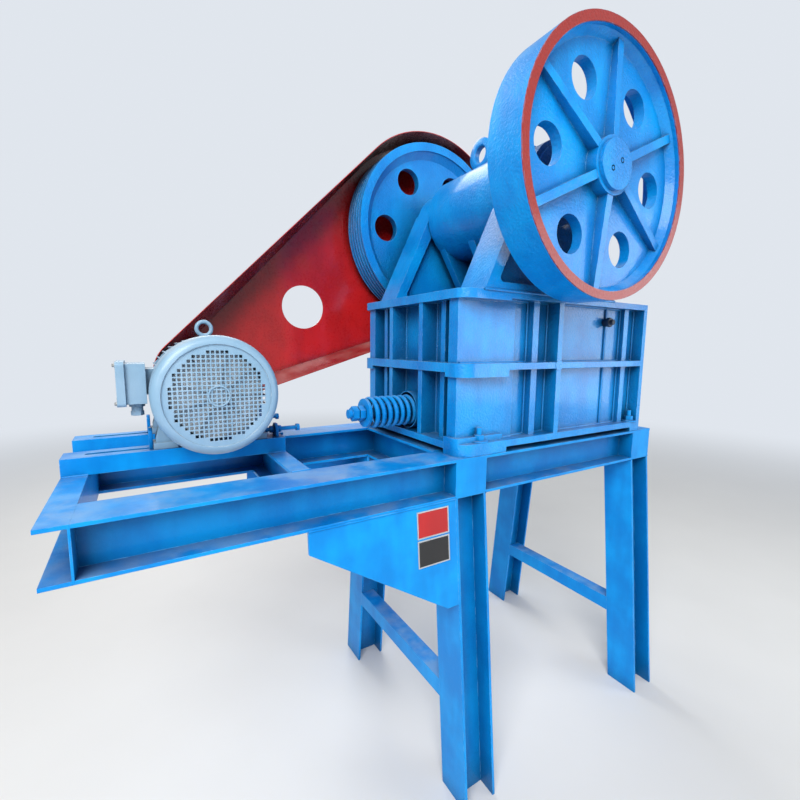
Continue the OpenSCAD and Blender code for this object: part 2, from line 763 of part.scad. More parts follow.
// Pitman: the barrel round the eccentric, a front plate that backs the jaw plate, webs and a toggle seat
module pitman() {
    flat = [cos(nip), sin(nip)];
    up = [-sin(nip), cos(nip)];
    foot = [swing_face_low, jaw_z0] - plate_t * flat;
    top = foot + up * (jaw_z1 - jaw_z0 + 90) / cos(nip);
    front_t = 46;
    side_web = 36;
    ear_t = 22;
    eye_w = 40;
    seat_face = toggle_front[0] + 1;
    slip_angle = atan2(toggle_front[0] - axle_local[0], axle_local[1] - toggle_front[1]);
    slip_gap = 2;
    color(blue) in_body() {
        difference() {
            union() {
                barrel_cylinder(barrel_len, barrel_r);
                along_y(-pitman_w / 2, pitman_w) polygon([
                    foot, top, axle_local + barrel_r * [0.85, -0.5], axle_local + barrel_r * [0.6, -0.7],
                    top - front_t * flat, foot - front_t * flat + [0, 18]]);
                for (y = [-pitman_w / 2, -side_web / 2, pitman_w / 2 - side_web])
                    along_y(y, side_web) polygon([
                    foot - 30 * flat + [0, 14], top, axle_local + barrel_r * [0.85, -0.5],
                    axle_local - barrel_r * [0.75, 0.6], [seat_face, toggle_front[1] + 70],
                    [seat_face, toggle_front[1] - 30]]);
                along_y(-pitman_w / 2, pitman_w) polygon([
                    [seat_face, toggle_front[1] + 34], [seat_face, toggle_front[1] - 34],
                    toggle_front + [60, -50], foot + up * 150 - 20 * flat, foot + up * 230 - 20 * flat]);
            }
            barrel_cylinder(barrel_len + 2, shaft_r + 3);
            barrel_cylinder(ecc_len + 20, ecc_r + throw + seat);
            cyl_y([toggle_front[0], -pitman_w / 2 - 1, toggle_front[1]],
                pitman_w + 2, seat_r + seat, $fn = 48);
            along_y(-pitman_w / 2 - 1, pitman_w + 2) translate(toggle_front) rotate(slip_angle)
                translate([-seat_r, -seat_r - slip_gap]) square([seat_r, seat_r]);
            cyl_y([pin_local[0], -eye_w / 2, pin_local[1]], eye_w, eye_r + 6, $fn = 48);
        }
        for (y = [-ear_t - eye_w / 2, eye_w / 2]) along_y(y, ear_t) {
            translate(pin_local) circle(pin_r + 14, $fn = 48);
            polygon([pin_local + [0, -28], pin_local + [0, 28], toggle_front + [60, -20],
                foot + up * 120 - 10 * flat, foot + up * 20 - 10 * flat]);
        }
        cyl_y([pin_local[0], -eye_w / 2 - ear_t, pin_local[1]], eye_w + 2 * ear_t, pin_r, $fn = 48);
    }
}

// Cylinder round the shaft's axis, in the body's own axes
module barrel_cylinder(len, r) {
    cyl_y([axle_local[0], -len / 2, axle_local[1]], len, r, $fn = 96);
}

// Lifting lug on top of the pitman's barrel, its foot cut to the barrel's round
module lifting_lug() {
    lug_t = 24;
    lug_r = 42;
    top = barrel_r + 38;
    color(blue) translate([axle_x, 0, axle_z]) along_y(mid_y + lug_y - lug_t / 2, lug_t)
        difference() {
            union() {
                translate([0, top]) circle(lug_r, $fn = 48);
                translate([-lug_r, barrel_r - 10]) square([2 * lug_r, 48]);
            }
            translate([0, top]) circle(lug_r - 17, $fn = 48);
            circle(barrel_r + seat, $fn = 96);
        }
}

// Toggle plate between its seats, and the block that carries its rear end
module toggle_plate() {
    span = toggle_front - toggle_rear;
    width = pitman_w - 40;
    color(dark_steel) in_body() translate([toggle_rear[0], width / 2, toggle_rear[1]])
        rotate([90, -atan2(span[1], span[0]), 0]) linear_extrude(width) {
            translate([0, -seat_r]) square([norm(span), toggle_t]);
            for (x = [0, norm(span)]) translate([x, 0]) circle(seat_r, $fn = 48);
        }
}
module toggle_block() {
    block_h = 104;
    color(blue) in_body() difference() {
        block([rear_face + end_wall_t, -chamber_y, toggle_rear[1] - block_h / 2],
            [toggle_rear[0] - 1, chamber_y, toggle_rear[1] + block_h / 2]);
        cyl_y([toggle_rear[0], -chamber_y - 1, toggle_rear[1]], chamber_w + 2, seat_r + seat, $fn = 48);
    }
}

// Drawback rod with its eye on the pitman's pin, and the washer and nuts that hold the spring
module drawback_rod() {
    washer_t = 10;
    nut_r = 27;
    nut_t = 20;
    tail = 70;
    eye_len = 34;
    color(blue) in_body() {
        cyl_x([spring_x0 - tail, 0, rod_z], pin_local[0] - 26 - spring_x0 + tail, rod_r, $fn = 48);
        difference() {
            cyl_y([pin_local[0], -eye_len / 2, pin_local[1]], eye_len, eye_r, $fn = 48);
            cyl_y([pin_local[0], -eye_len / 2 - 1, pin_local[1]], eye_len + 2, pin_r + fit, $fn = 48);
        }
        cyl_x([spring_x0 - washer_t, 0, rod_z], washer_t, spring_r - 6, $fn = 48);
        for (x = [washer_t + nut_t + 2, washer_t + 2 * nut_t + 6])
            cyl_x([spring_x0 - x, 0, rod_z], nut_t, nut_r, $fn = 6);
    }
}

// Drawback spring, a round wire swept along its helix
module drawback_spring() {
    sides = 10;
    steps = 20;
    rings = spring_turns * steps;
    mean_r = spring_r - spring_wire;
    run = spring_x1 - spring_x0 - 2 * spring_wire;
    points = [for (i = [0 : rings]) for (j = [0 : sides - 1])
        let (turn = 360 * i / steps, a = 360 * j / sides, r = mean_r + spring_wire * cos(a))
        [spring_wire + run * i / rings + spring_wire * sin(a), r * cos(turn), r * sin(turn)]];
    faces = concat(
        [[for (j = [0 : sides - 1]) j]],
        [for (i = [0 : rings - 1]) for (j = [0 : sides - 1])
            [i * sides + j, (i + 1) * sides + j,
                (i + 1) * sides + (j + 1) % sides, i * sides + (j + 1) % sides]],
        [[for (j = [sides - 1 : -1 : 0]) rings * sides + j]]);
    color(blue) in_body() translate([spring_x0, 0, rod_z]) polyhedron(points, faces, convexity = 10);
}

// Cup on the rear wall that guides the inner end of the spring
module spring_cup() {
    wall = 3;
    play = 9;
    depth = 52;
    floor_t = 4;
    color(blue) in_body() difference() {
        cyl_x([rear_face - depth, 0, rod_z], depth, spring_r + play + wall, $fn = 72);
        cyl_x([rear_face - depth - 1, 0, rod_z], depth - floor_t + 1, spring_r + play, $fn = 72);
        cyl_x([rear_face - depth, 0, rod_z], depth + 1, rod_r + 8, $fn = 48);
    }
}

// Eccentric shaft: journals in the housings, the eccentric inside the barrel, and the wheel seats
module eccentric_shaft() {
    journal_len = body_w + 6;
    y0 = wheel_y0 + 6;
    y1 = sheave_y0 + sheave_w - 6;
    color(steel) translate([axle_x, 0, axle_z]) rotate([-90, 0, 0]) {
        translate([0, 0, mid_y - journal_len / 2]) cylinder(h = journal_len, r = shaft_r, $fn = 96);
        translate([0, 0, y0]) cylinder(h = y1 - y0, r = wheel_seat_r, $fn = 96);
        translate([0, throw, mid_y - ecc_len / 2]) cylinder(h = ecc_len, r = ecc_r, $fn = 96);
    }
}

// Round openings through a wheel's web, drawn in X-Z
module wheel_openings(phase) {
    for (i = [0 : opening_count - 1]) rotate(phase + i * 360 / opening_count)
        translate([opening_pcd_r, 0]) circle(opening_r, $fn = 48);
}

// Flywheel: rim, sunk web with round openings, ribs between them and the hub
module flywheel() {
    half_step = 180 / opening_count;
    rib_w = 26;
    slope = 16;
    color(blue) translate([axle_x, wheel_y0, axle_z]) {
        difference() {
            rotate([-90, 0, 0]) rotate_extrude($fn = 120) {
                translate([wheel_r - rim_t, 0]) square([rim_t, wheel_w]);
                translate([hub_r - 2, web_in]) square([wheel_r - rim_t - hub_r + 4, web_t]);
                for (s = [-1, 1]) polygon([
                    [wheel_r - rim_t + 1, web_in + web_t / 2 + s * (web_t / 2 + slope * 1.6)],
                    [wheel_r - rim_t + 1, web_in + web_t / 2],
                    [wheel_r - rim_t - slope, web_in + web_t / 2 + s * web_t / 2]]);
                translate([wheel_seat_r + fit, hub_in])
                    square([hub_r - wheel_seat_r - fit, wheel_w - hub_in]);
            }
            along_y(web_in - 1, web_t + 2) wheel_openings(rib_phase + half_step);
        }
        for (i = [0 : opening_count - 1]) rotate([0, -(rib_phase + i * 2 * half_step), 0])
            translate([0, 0, -rib_w / 2]) linear_extrude(rib_w) polygon([
                [hub_r - 3, hub_in + 2], [wheel_r - rim_t - 4, web_in - 18],
                [wheel_r - rim_t - 4, web_in + 2], [hub_r - 3, web_in + 2]]);
    }
}

// Cap that closes the flywheel's hub
module flywheel_cap() {
    color(blue) translate([axle_x, wheel_y0 - cap_t, axle_z]) rotate([-90, 0, 0])
        cylinder(h = cap_t + hub_in, r = hub_r - 12, $fn = 72);
}

// Drive sheave: grooved rim, web with round openings and the hub
module drive_sheave() {
    rim = 21;
    web_y = 32;
    slope = 30;
    color(blue) translate([axle_x, sheave_y0, axle_z]) difference() {
        rotate([-90, 0, 0]) rotate_extrude($fn = 120) difference() {
            union() {
                translate([wheel_r - rim - groove_d, 0]) square([rim + groove_d, sheave_w]);
                translate([hub_r - 2, web_y]) square([wheel_r - rim - groove_d - hub_r + 4, web_t]);
                polygon([
                    [wheel_r - rim - groove_d + 1, 6],
                    [wheel_r - rim - groove_d + 1, web_y + web_t / 2],
                    [wheel_r - rim - groove_d - slope, web_y + 1]]);
                translate([wheel_seat_r + fit, 4]) square([hub_r - wheel_seat_r - fit, sheave_w - 8]);
            }
            groove_profile(wheel_r, 4, sheave_w - 8, groove_count, groove_d);
        }
        along_y(web_y - 1, web_t + 2) wheel_openings(2);
    }
}

// Outline of the belt guard in X-Z at a depth from 0 at the mouth to 1 at the back plate
module guard_outline(depth, wall) {
    drop = 14 * depth;
    hull() {
        translate([axle_x, axle_z]) circle(guard_r - guard_flare * depth - wall, $fn = 120);
        translate([drive_x, drive_z + guard_lift - drop])
            circle(guard_small_r - guard_small_flare * depth - wall, $fn = 64);
    }
}

// Flared volume of the guard, less its wall's thickness
module guard_volume(wall, y0, y1) {
    slice = 0.01;
    hull() {
        along_y(y0, slice) guard_outline((y0 - guard_y0) / guard_w, wall);
        along_y(y1 - slice, slice) guard_outline((y1 - guard_y0) / guard_w, wall);
    }
}

// Belt guard: an open flared pan round the drive, with a round window in its back plate
module belt_guard() {
    window_x = axle_x - window_back;
    window_z = axle_z - window_drop;
    color(guard_red) difference() {
        guard_volume(0, guard_y0, guard_y1);
        guard_volume(guard_t, guard_y0 - 0.02, guard_y1 - guard_t);
        translate([window_x, guard_y1 + 1, window_z]) rotate([90, 0, 0])
            cylinder(h = guard_t + 2, d = window_d, $fn = 64);
    }
}

// Bracket that carries the guard from the far beam
module guard_bracket() {
    bracket_t = 8;
    foot_len = 90;
    foot_w = 60;
    arm_w = 60;
    edge_in = 2;
    color(blue) {
        block([bracket_x, far_beam_y + h_size - foot_len, deck_h],
            [bracket_x + foot_w, far_beam_y + h_size - edge_in, deck_h + bracket_t]);
        difference() {
            along_x(bracket_x, bracket_t) polygon([
                [far_beam_y + h_size - arm_w, deck_h + bracket_t],
                [far_beam_y + h_size - edge_in, deck_h + bracket_t],
                [guard_y1 - 30, drive_z - 30], [guard_y1 - 30, drive_z + 90],
                [far_beam_y + h_size - arm_w, deck_h + bracket_t + 40]]);
            guard_volume(0, guard_y0, guard_y1);
            block([bracket_x - 1, stand_y, deck_h + bracket_t + 40],
                [bracket_x + bracket_t + 1, guard_y0, axle_z]);
        }
    }
}

near_long_beam();
far_long_beam();
left_end_channel();
middle_cross_channel();
rear_cross_beam();
front_cross_beam();
rear_near_leg();
rear_far_leg();
front_near_leg();
front_far_leg();
rear_leg_brace();
front_leg_brace();
near_gusset();
far_gusset();
near_motor_rail();
far_motor_rail();
motor_frame();
fan_cowl();
motor_end_shield();
motor_shaft();
motor_pulley();
terminal_box();
lifting_eye();
near_side_frame();
far_side_frame();
rear_frame_wall();
front_frame_wall();
near_pedestal();
far_pedestal();
fixed_jaw_plate();
near_cheek_plate();
far_cheek_plate();
pitman();
lifting_lug();
swing_jaw_plate();
toggle_plate();
toggle_block();
drawback_rod();
drawback_spring();
spring_cup();
eccentric_shaft();
flywheel();
flywheel_cap();
drive_sheave();
belt_guard();
guard_bracket();
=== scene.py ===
"""Looks of a jaw crusher on its beam stand: finishes, fasteners, welds, cowl grille and blank plates."""

import json
import logging
import math
from dataclasses import dataclass
from enum import Enum
from typing import Callable, Iterable, Sequence

import bmesh
import bpy
from mathutils import Matrix, Vector


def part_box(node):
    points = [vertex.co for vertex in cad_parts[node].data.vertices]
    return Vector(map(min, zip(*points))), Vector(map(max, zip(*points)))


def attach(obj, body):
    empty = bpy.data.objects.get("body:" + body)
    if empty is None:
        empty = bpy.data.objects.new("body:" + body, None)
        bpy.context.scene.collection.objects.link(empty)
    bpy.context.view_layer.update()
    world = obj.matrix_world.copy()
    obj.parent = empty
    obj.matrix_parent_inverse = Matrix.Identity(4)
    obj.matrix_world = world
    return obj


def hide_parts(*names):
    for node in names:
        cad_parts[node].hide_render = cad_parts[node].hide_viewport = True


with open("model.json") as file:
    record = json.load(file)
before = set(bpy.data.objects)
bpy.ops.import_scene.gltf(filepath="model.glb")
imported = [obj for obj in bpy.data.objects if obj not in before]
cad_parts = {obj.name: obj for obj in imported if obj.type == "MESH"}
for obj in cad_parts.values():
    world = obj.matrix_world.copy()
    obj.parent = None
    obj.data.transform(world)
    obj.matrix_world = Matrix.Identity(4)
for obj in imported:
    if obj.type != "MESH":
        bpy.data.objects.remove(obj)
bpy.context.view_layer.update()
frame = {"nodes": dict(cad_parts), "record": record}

LOG = logging.getLogger("jaw_crusher")
MM = 0.001
Point = Sequence[float]
Colour = tuple[float, float, float]
Accent = Callable[["Painter", object], object]
ALONG, ACROSS, UP = (1, 0, 0), (0, 1, 0), (0, 0, 1)
HEX = 6
RAILS = ("near_motor_rail", "far_motor_rail")
CAST_NODES = ("near_pedestal", "far_pedestal", "pitman", "lifting_lug", "near_side_frame", "far_side_frame",
              "rear_frame_wall", "front_frame_wall", "drive_sheave", "flywheel_cap", "toggle_block")


class Slot(Enum):
    """Material slots of the record."""

    BLUE = "blue_paint"
    MOTOR = "motor_paint"
    GUARD = "guard_paint"
    JAW = "jaw_steel"
    MACHINED = "machined_steel"
    DARK = "dark_steel"


SLOT_PAINTS = {Slot.BLUE: "blue", Slot.MOTOR: "motor", Slot.GUARD: "guard", Slot.JAW: "jaw",
               Slot.MACHINED: "machined", Slot.DARK: "dark"}


class Body(Enum):
    """Bodies of the frame that pieces ride on."""

    ROOT = "root"
    SHAFT = "wheel_shaft"
    JAW = "swing_jaw"


class Sock:
    """A shader socket that takes part in Python arithmetic."""

    def __init__(self, tree: bpy.types.NodeTree, socket: bpy.types.NodeSocket) -> None:
        """Wraps one output socket of a tree."""
        self.tree = tree
        self.socket = socket

    def _math(self, operation: str, *values: object) -> "Sock":
        """Adds a Math node.

        Args:
            operation: The node's operation.
            values: Numbers or wrapped sockets, in order.

        Returns:
            The result, wrapped.
        """
        node = self.tree.nodes.new("ShaderNodeMath")
        node.operation = operation
        for index, value in enumerate(values):
            if isinstance(value, Sock):
                self.tree.links.new(value.socket, node.inputs[index])
            else:
                node.inputs[index].default_value = float(value)
        return Sock(self.tree, node.outputs[0])

    def __add__(self, other: object) -> "Sock":
        """Sum."""
        return self._math("ADD", self, other)

    __radd__ = __add__

    def __sub__(self, other: object) -> "Sock":
        """Difference."""
        return self._math("SUBTRACT", self, other)

    def __rsub__(self, other: object) -> "Sock":
        """Reflected difference, so that 1 - mask works."""
        return self._math("SUBTRACT", other, self)

    def __mul__(self, other: object) -> "Sock":
        """Product."""
        return self._math("MULTIPLY", self, other)

    __rmul__ = __mul__

    def sqrt(self) -> "Sock":
        """Square root."""
        return self._math("SQRT", self)

    def step(self, low: float, high: float) -> "Sock":
        """Smooth ramp from 0 at low to 1 at high.

        Args:
            low: Value at which the ramp starts.
            high: Value at which it ends.

        Returns:
            The ramp, wrapped.
        """
        node = self.tree.nodes.new("ShaderNodeMapRange")
        node.interpolation_type = "SMOOTHSTEP"
        self.tree.links.new(self.socket, node.inputs["Value"])
        node.inputs["From Min"].default_value = low
        node.inputs["From Max"].default_value = high
        return Sock(self.tree, node.outputs[0])


class Painter:
    """Builds one material's node tree."""

    SAMPLES = 4
    NOISE_ROUGHNESS = 0.55
    EDGE_RAMP = (0.02, 0.22)
    CORNER_RAMP = (0.12, 0.85)

    def __init__(self, name: str) -> None:
        """Starts a material with a bare Principled shader."""
        self.material = bpy.data.materials.new(name)
        self.material.use_nodes = True
        self.tree = self.material.node_tree
        self.shader = self.tree.nodes["Principled BSDF"]
        self.coords = self.node("ShaderNodeTexCoord").outputs["Object"]

    def node(self, kind: str, settings: dict | None = None, **values: object) -> bpy.types.Node:
        """Adds any node.

        Args:
            kind: The node's type.
            settings: Properties that are set before the sockets.
            values: Socket names, with _ for a space, and their numbers, tuples or links.

        Returns:
            The node.
        """
        made = self.tree.nodes.new(kind)
        for key, value in (settings or {}).items():
            setattr(made, key, value)
        for key, value in values.items():
            self.feed(made.inputs[key.replace("_", " ")], value)
        return made

    def feed(self, socket: bpy.types.NodeSocket, value: object) -> None:
        """Links or sets a socket."""
        if isinstance(value, Sock):
            self.tree.links.new(value.socket, socket)
        elif isinstance(value, bpy.types.NodeSocket):
            self.tree.links.new(value, socket)
        else:
            socket.default_value = value

    def noise(self, scale: float, detail: float = 3.0, stretch: Point = (1, 1, 1)) -> Sock:
        """Noise on object coordinates.

        Args:
            scale: Waves in a metre.
            detail: Octaves.
            stretch: Factor on each axis.

        Returns:
            The noise, about 0 to 1.
        """
        mapping = self.node("ShaderNodeMapping", Vector=self.coords, Scale=tuple(stretch))
        made = self.node("ShaderNodeTexNoise", Vector=mapping.outputs[0], Scale=scale, Detail=detail,
                         Roughness=self.NOISE_ROUGHNESS)
        return Sock(self.tree, made.outputs["Fac"])

    def axes(self) -> tuple[Sock, Sock, Sock]:
        """Object coordinates as three wrapped values."""
        split = self.node("ShaderNodeSeparateXYZ", Vector=self.coords)
        return tuple(Sock(self.tree, split.outputs[i]) for i in range(3))

    def normal(self) -> bpy.types.NodeSocket:
        """The surface's normal."""
        return self.node("ShaderNodeNewGeometry").outputs["Normal"]

    def vector(self, operation: str, first: object, second: object) -> bpy.types.Node:
        """Adds a Vector Math node on two vectors.

        Args:
            operation: The node's operation.
            first: Vector or vector socket.
            second: Vector or vector socket.

        Returns:
            The node.
        """
        made = self.node("ShaderNodeVectorMath", {"operation": operation})
        self.feed(made.inputs[0], first)
        self.feed(made.inputs[1], second)
        return made

    def upward(self) -> Sock:
        """How far the surface faces up, from -1 to 1."""
        return Sock(self.tree, self.node("ShaderNodeSeparateXYZ", Vector=self.normal()).outputs["Z"])

    def edges(self, radius: float) -> Sock:
        """Mask of worn outer edges, found from a rounded normal.

        Args:
            radius: Width of the edge in metres.

        Returns:
            0 on flat faces, up to 1 on sharp edges.
        """
        rounded = self.node("ShaderNodeBevel", {"samples": self.SAMPLES}, Radius=radius)
        alike = self.vector("DOT_PRODUCT", rounded.outputs[0], self.normal())
        return (1 - Sock(self.tree, alike.outputs["Value"])).step(*self.EDGE_RAMP)

    def corners(self, reach: float) -> Sock:
        """Mask of inner corners and recesses, where painted shade goes.

        Args:
            reach: Width of the corner in metres.

        Returns:
            0 on open faces, up to 1 deep in corners.
        """
        open_share = self.node("ShaderNodeAmbientOcclusion", {"samples": self.SAMPLES}, Distance=reach)
        return (1 - Sock(self.tree, open_share.outputs["AO"])).step(*self.CORNER_RAMP)

    def mix(self, share: Sock, low: object, high: object) -> bpy.types.NodeSocket:
        """Mixes two colours.

        Args:
            share: 0 gives low, 1 gives high.
            low: Colour or colour socket.
            high: Colour or colour socket.

        Returns:
            The mixed colour socket.
        """
        made = self.node("ShaderNodeMix", {"data_type": "RGBA"})
        self.feed(made.inputs[0], share)
        for index, value in ((6, low), (7, high)):
            self.feed(made.inputs[index], (*value, 1.0) if isinstance(value, tuple) else value)
        return made.outputs[2]

    def bump(self, height: Sock, depth: float, strength: float = 1.0, edge: float = 0.0) -> None:
        """Feeds the shader's normal from a height, over edges softened by a small radius.

        Args:
            height: Height, 0 to 1.
            depth: What a height of 1 stands for, in metres.
            strength: Share of the effect.
            edge: Radius to which sharp edges are softened, in metres.
        """
        made = self.node("ShaderNodeBump", Height=height, Distance=depth, Strength=strength)
        if edge:
            rounded = self.node("ShaderNodeBevel", {"samples": self.SAMPLES}, Radius=edge)
            self.feed(made.inputs["Normal"], rounded.outputs[0])
        self.feed(self.shader.inputs["Normal"], made.outputs[0])

    def set(self, **values: object) -> None:
        """Sets or links inputs of the Principled shader."""
        for key, value in values.items():
            self.feed(self.shader.inputs[key.replace("_", " ")], value)


@dataclass(frozen=True)
class Enamel:
    """Brushed or sprayed enamel on castings and rolled steel."""

    name: str
    colour: Colour
    shade: Colour
    bare: Colour
    dust: Colour = (0.50, 0.52, 0.52)
    roughness: float = 0.34
    coat: float = 0.25
    grain: float = 1.0
    wear: float = 0.6
    dusty: float = 0.35
    # Painted shade in corners and recesses: its share, how dark it is against the shade tone, and its reach.
    recess_shade: float = 0.0
    recess_shade_tone: float = 0.16
    recess: float = 140 * MM
    specular: float = 0.5
    edge_wear: float = 3.5 * MM
    edge_softness: float = 2.2 * MM
    relief: float = 1.1 * MM
    accent: Accent | None = None

    def build(self) -> bpy.types.Material:
        """Makes the material: mottled colour, runs, painted shade in recesses, dust on top faces, thin paint on
        edges, cast grain.
        """
        paint = Painter(self.name)
        patches = paint.noise(5.5, 4)
        runs = paint.noise(16, 3, (1, 1, 0.16))
        grain = paint.noise(120, 4)
        ripple = paint.noise(34, 3)
        colour = paint.mix((patches * 0.65 + runs * 0.35).step(0.38, 0.66), self.shade, self.colour)
        if self.accent:
            colour = self.accent(paint, colour)
        settled = paint.upward().step(0.45, 0.95) * paint.noise(11, 5).step(0.36, 0.70) * self.dusty
        colour = paint.mix(settled, colour, self.dust)
        # Painted shade: the colour darkens towards a deep shade tone in corners and recesses, where less light falls.
        if self.recess_shade:
            recess_shade_colour = tuple(c * self.recess_shade_tone for c in self.shade)
            colour = paint.mix(paint.corners(self.recess) * self.recess_shade, colour, recess_shade_colour)
        chipped = paint.edges(self.edge_wear) * paint.noise(42, 5).step(0.44, 0.60) * self.wear
        colour = paint.mix(chipped, colour, self.bare)
        roughness = self.roughness + grain * 0.10 + settled * 0.5 + chipped * 0.2 + patches * 0.06
        paint.set(Base_Color=colour, Metallic=0.0, Roughness=roughness, Coat_Weight=self.coat, Coat_Roughness=0.12,
                  Specular_IOR_Level=self.specular)
        height = grain * 0.30 * self.grain + ripple * 0.70
        paint.bump(height, self.relief, strength=0.9, edge=self.edge_softness)
        return paint.material


@dataclass(frozen=True)
class BareMetal:
    """Bare or oiled steel."""

    name: str
    colour: Colour
    stain: Colour
    roughness: float = 0.35
    grain: float = 120.0
    stretch: Colour = (1, 1, 1)
    stained: float = 0.6
    metallic: float = 1.0
    dull_share: float = 0.75
    relief: float = 0.5 * MM
    edge_softness: float = 1 * MM

    def build(self) -> bpy.types.Material:
        """Makes the material: fine marks, stains and soft edges."""
        metal = Painter(self.name)
        marks = metal.noise(self.grain, 4, self.stretch)
        stains = metal.noise(14, 5).step(0.46, 0.70) * self.stained
        dull = tuple(c * self.dull_share for c in self.colour)
        metal.set(Base_Color=metal.mix(stains, metal.mix(marks, dull, self.colour), self.stain),
                  Metallic=self.metallic - stains * (0.7 * self.metallic),
                  Roughness=self.roughness + marks * 0.15 + stains * 0.3)
        metal.bump(marks, self.relief, strength=0.6, edge=self.edge_softness)
        return metal.material


def link_mesh(name: str, verts: Iterable[Point], faces: Iterable[Sequence[int]]) -> bpy.types.Object:
    """Makes an object at the origin from vertices and faces in metres."""
    mesh = bpy.data.meshes.new(name)
    mesh.from_pydata([tuple(v) for v in verts], [], [tuple(f) for f in faces])
    thing = bpy.data.objects.new(name, mesh)
    bpy.context.scene.collection.objects.link(thing)
    work = bmesh.new()
    work.from_mesh(mesh)
    bmesh.ops.recalc_face_normals(work, faces=work.faces)
    work.to_mesh(mesh)
    work.free()
    return thing


class MeshPile:
    """Collects closed shapes into one mesh."""

    ON_AXIS = 1e-9
    ROUNDED_ANGLE = 40

    def __init__(self) -> None:
        """Starts empty."""
        self.verts: list[Vector] = []
        self.faces: list[tuple[int, ...]] = []

    def add(self, verts: Iterable[Point], faces: Iterable[Sequence[int]]) -> None:
        """Adds one shape."""
        start = len(self.verts)
        self.verts.extend(Vector(v) for v in verts)
        self.faces.extend(tuple(i + start for i in face) for face in faces)

    def lathe(self, profile: Sequence[Point], start: Point, aim: Point, segments: int = 32,
              turn: float = 0.0) -> None:
        """Adds a turned shape.

        Args:
            profile: Closed outline as (distance along the axis, radius); a radius of 0 closes an end.
            start: Point on the axis.
            aim: Direction of the axis.
            segments: Steps round the axis.
            turn: Angle of the first step, in radians.
        """
        axis = Vector(aim).normalized()
        side = axis.orthogonal().normalized()
        other = axis.cross(side)
        base = Vector(start)
        rings: list[list[int]] = []
        verts: list[Vector] = []
        for along, radius in profile:
            if radius <= self.ON_AXIS:
                rings.append([len(verts)] * segments)
                verts.append(base + axis * along)
                continue
            rings.append(list(range(len(verts), len(verts) + segments)))
            for step in range(segments):
                angle = turn + 2 * math.pi * step / segments
                out = side * math.cos(angle) + other * math.sin(angle)
                verts.append(base + axis * along + out * radius)
        faces = []
        closed = profile[0][1] > self.ON_AXIS or profile[-1][1] > self.ON_AXIS
        pairs = list(zip(rings, rings[1:])) + ([(rings[-1], rings[0])] if closed else [])
        for low, high in pairs:
            for step in range(segments):
                nxt = (step + 1) % segments
                loop = [low[step], low[nxt], high[nxt], high[step]]
                loop = [v for k, v in enumerate(loop) if v not in loop[:k]]
                if len(loop) > 2:
                    faces.append(loop)
        self.add(verts, faces)

    def prism(self, outline: Sequence[Point], start: float, end: float,
              place: Callable[[float, float, float], Point]) -> None:
        """Adds an extruded outline.

        Args:
            outline: Points (a, b).
            start: First depth.
            end: Second depth.
            place: Turns (a, b, depth) into a point in metres.
        """
        count = len(outline)
        verts = [place(a, b, depth) for depth in (start, end) for a, b in outline]
        faces = [tuple(range(count)), tuple(range(count, 2 * count))]
        faces += [(i, (i + 1) % count, (i + 1) % count + count, i + count) for i in range(count)]
        self.add(verts, faces)

    def build(self, name: str, bevel: float = 0.0, smooth: float = 35.0) -> bpy.types.Object:
        """Makes the object, with its edges rounded and its curved faces smooth.

        Args:
            name: The object's name.
            bevel: Radius of the rounding in metres.
            smooth: Angle in degrees under which faces are shaded smooth.

        Returns:
            The object, its modifiers applied.
        """
        thing = link_mesh(name, self.verts, self.faces)
        if bevel:
            rounding = thing.modifiers.new("rounding", "BEVEL")
            rounding.width = bevel
            rounding.segments = 2
            rounding.limit_method = "ANGLE"
            rounding.angle_limit = math.radians(self.ROUNDED_ANGLE)
            apply_modifiers(thing)
        thing.data.shade_smooth()
        thing.data.set_sharp_from_angle(angle=math.radians(smooth))
        return thing


def apply_modifiers(thing: bpy.types.Object) -> None:
    """Replaces an object's mesh by its evaluated one and removes the modifiers."""
    graph = bpy.context.evaluated_depsgraph_get()
    graph.update()
    result = bpy.data.meshes.new_from_object(thing.evaluated_get(graph))
    thing.modifiers.clear()
    thing.data = result


class NodeTree:
    """A Geometry Nodes tree with named inputs."""

    def __init__(self, name: str) -> None:
        """Starts a tree that takes and gives geometry."""
        self.tree = bpy.data.node_groups.new(name, "GeometryNodeTree")
        self.face = self.tree.interface
        self.face.new_socket("Geometry", in_out="INPUT", socket_type="NodeSocketGeometry")
        self.face.new_socket("Geometry", in_out="OUTPUT", socket_type="NodeSocketGeometry")
        self.names: dict[str, str] = {}

    def input(self, name: str, kind: str = "NodeSocketFloat") -> None:
        """Declares one named input."""
        self.names[name] = self.face.new_socket(name, in_out="INPUT", socket_type=kind).identifier

    def begin(self) -> bpy.types.Node:
        """Adds the group's input node, once its inputs are declared."""
        return self.tree.nodes.new("NodeGroupInput")

    def node(self, kind: str, settings: dict | None = None, **values: object) -> bpy.types.Node:
        """Adds a node, sets its properties and feeds its sockets by name."""
        made = self.tree.nodes.new(kind)
        for key, value in (settings or {}).items():
            setattr(made, key, value)
        for key, value in values.items():
            socket = made.inputs[key.replace("_", " ")]
            if isinstance(value, bpy.types.NodeSocket):
                self.tree.links.new(value, socket)
            else:
                socket.default_value = value
        return made

    def end(self, geometry: bpy.types.NodeSocket, material: bpy.types.NodeSocket) -> None:
        """Realizes the instances, sets the material and closes the tree."""
        real = self.node("GeometryNodeRealizeInstances", Geometry=geometry)
        painted = self.node("GeometryNodeSetMaterial", Geometry=real.outputs[0], Material=material)
        out = self.tree.nodes.new("NodeGroupOutput")
        self.tree.links.new(painted.outputs[0], out.inputs[0])

    def run(self, thing: bpy.types.Object, **values: object) -> None:
        """Applies the tree to an object with the given inputs, and leaves a plain mesh."""
        modifier = thing.modifiers.new("made", "NODES")
        modifier.node_group = self.tree
        for key, value in values.items():
            modifier[self.names[key]] = value
        apply_modifiers(thing)


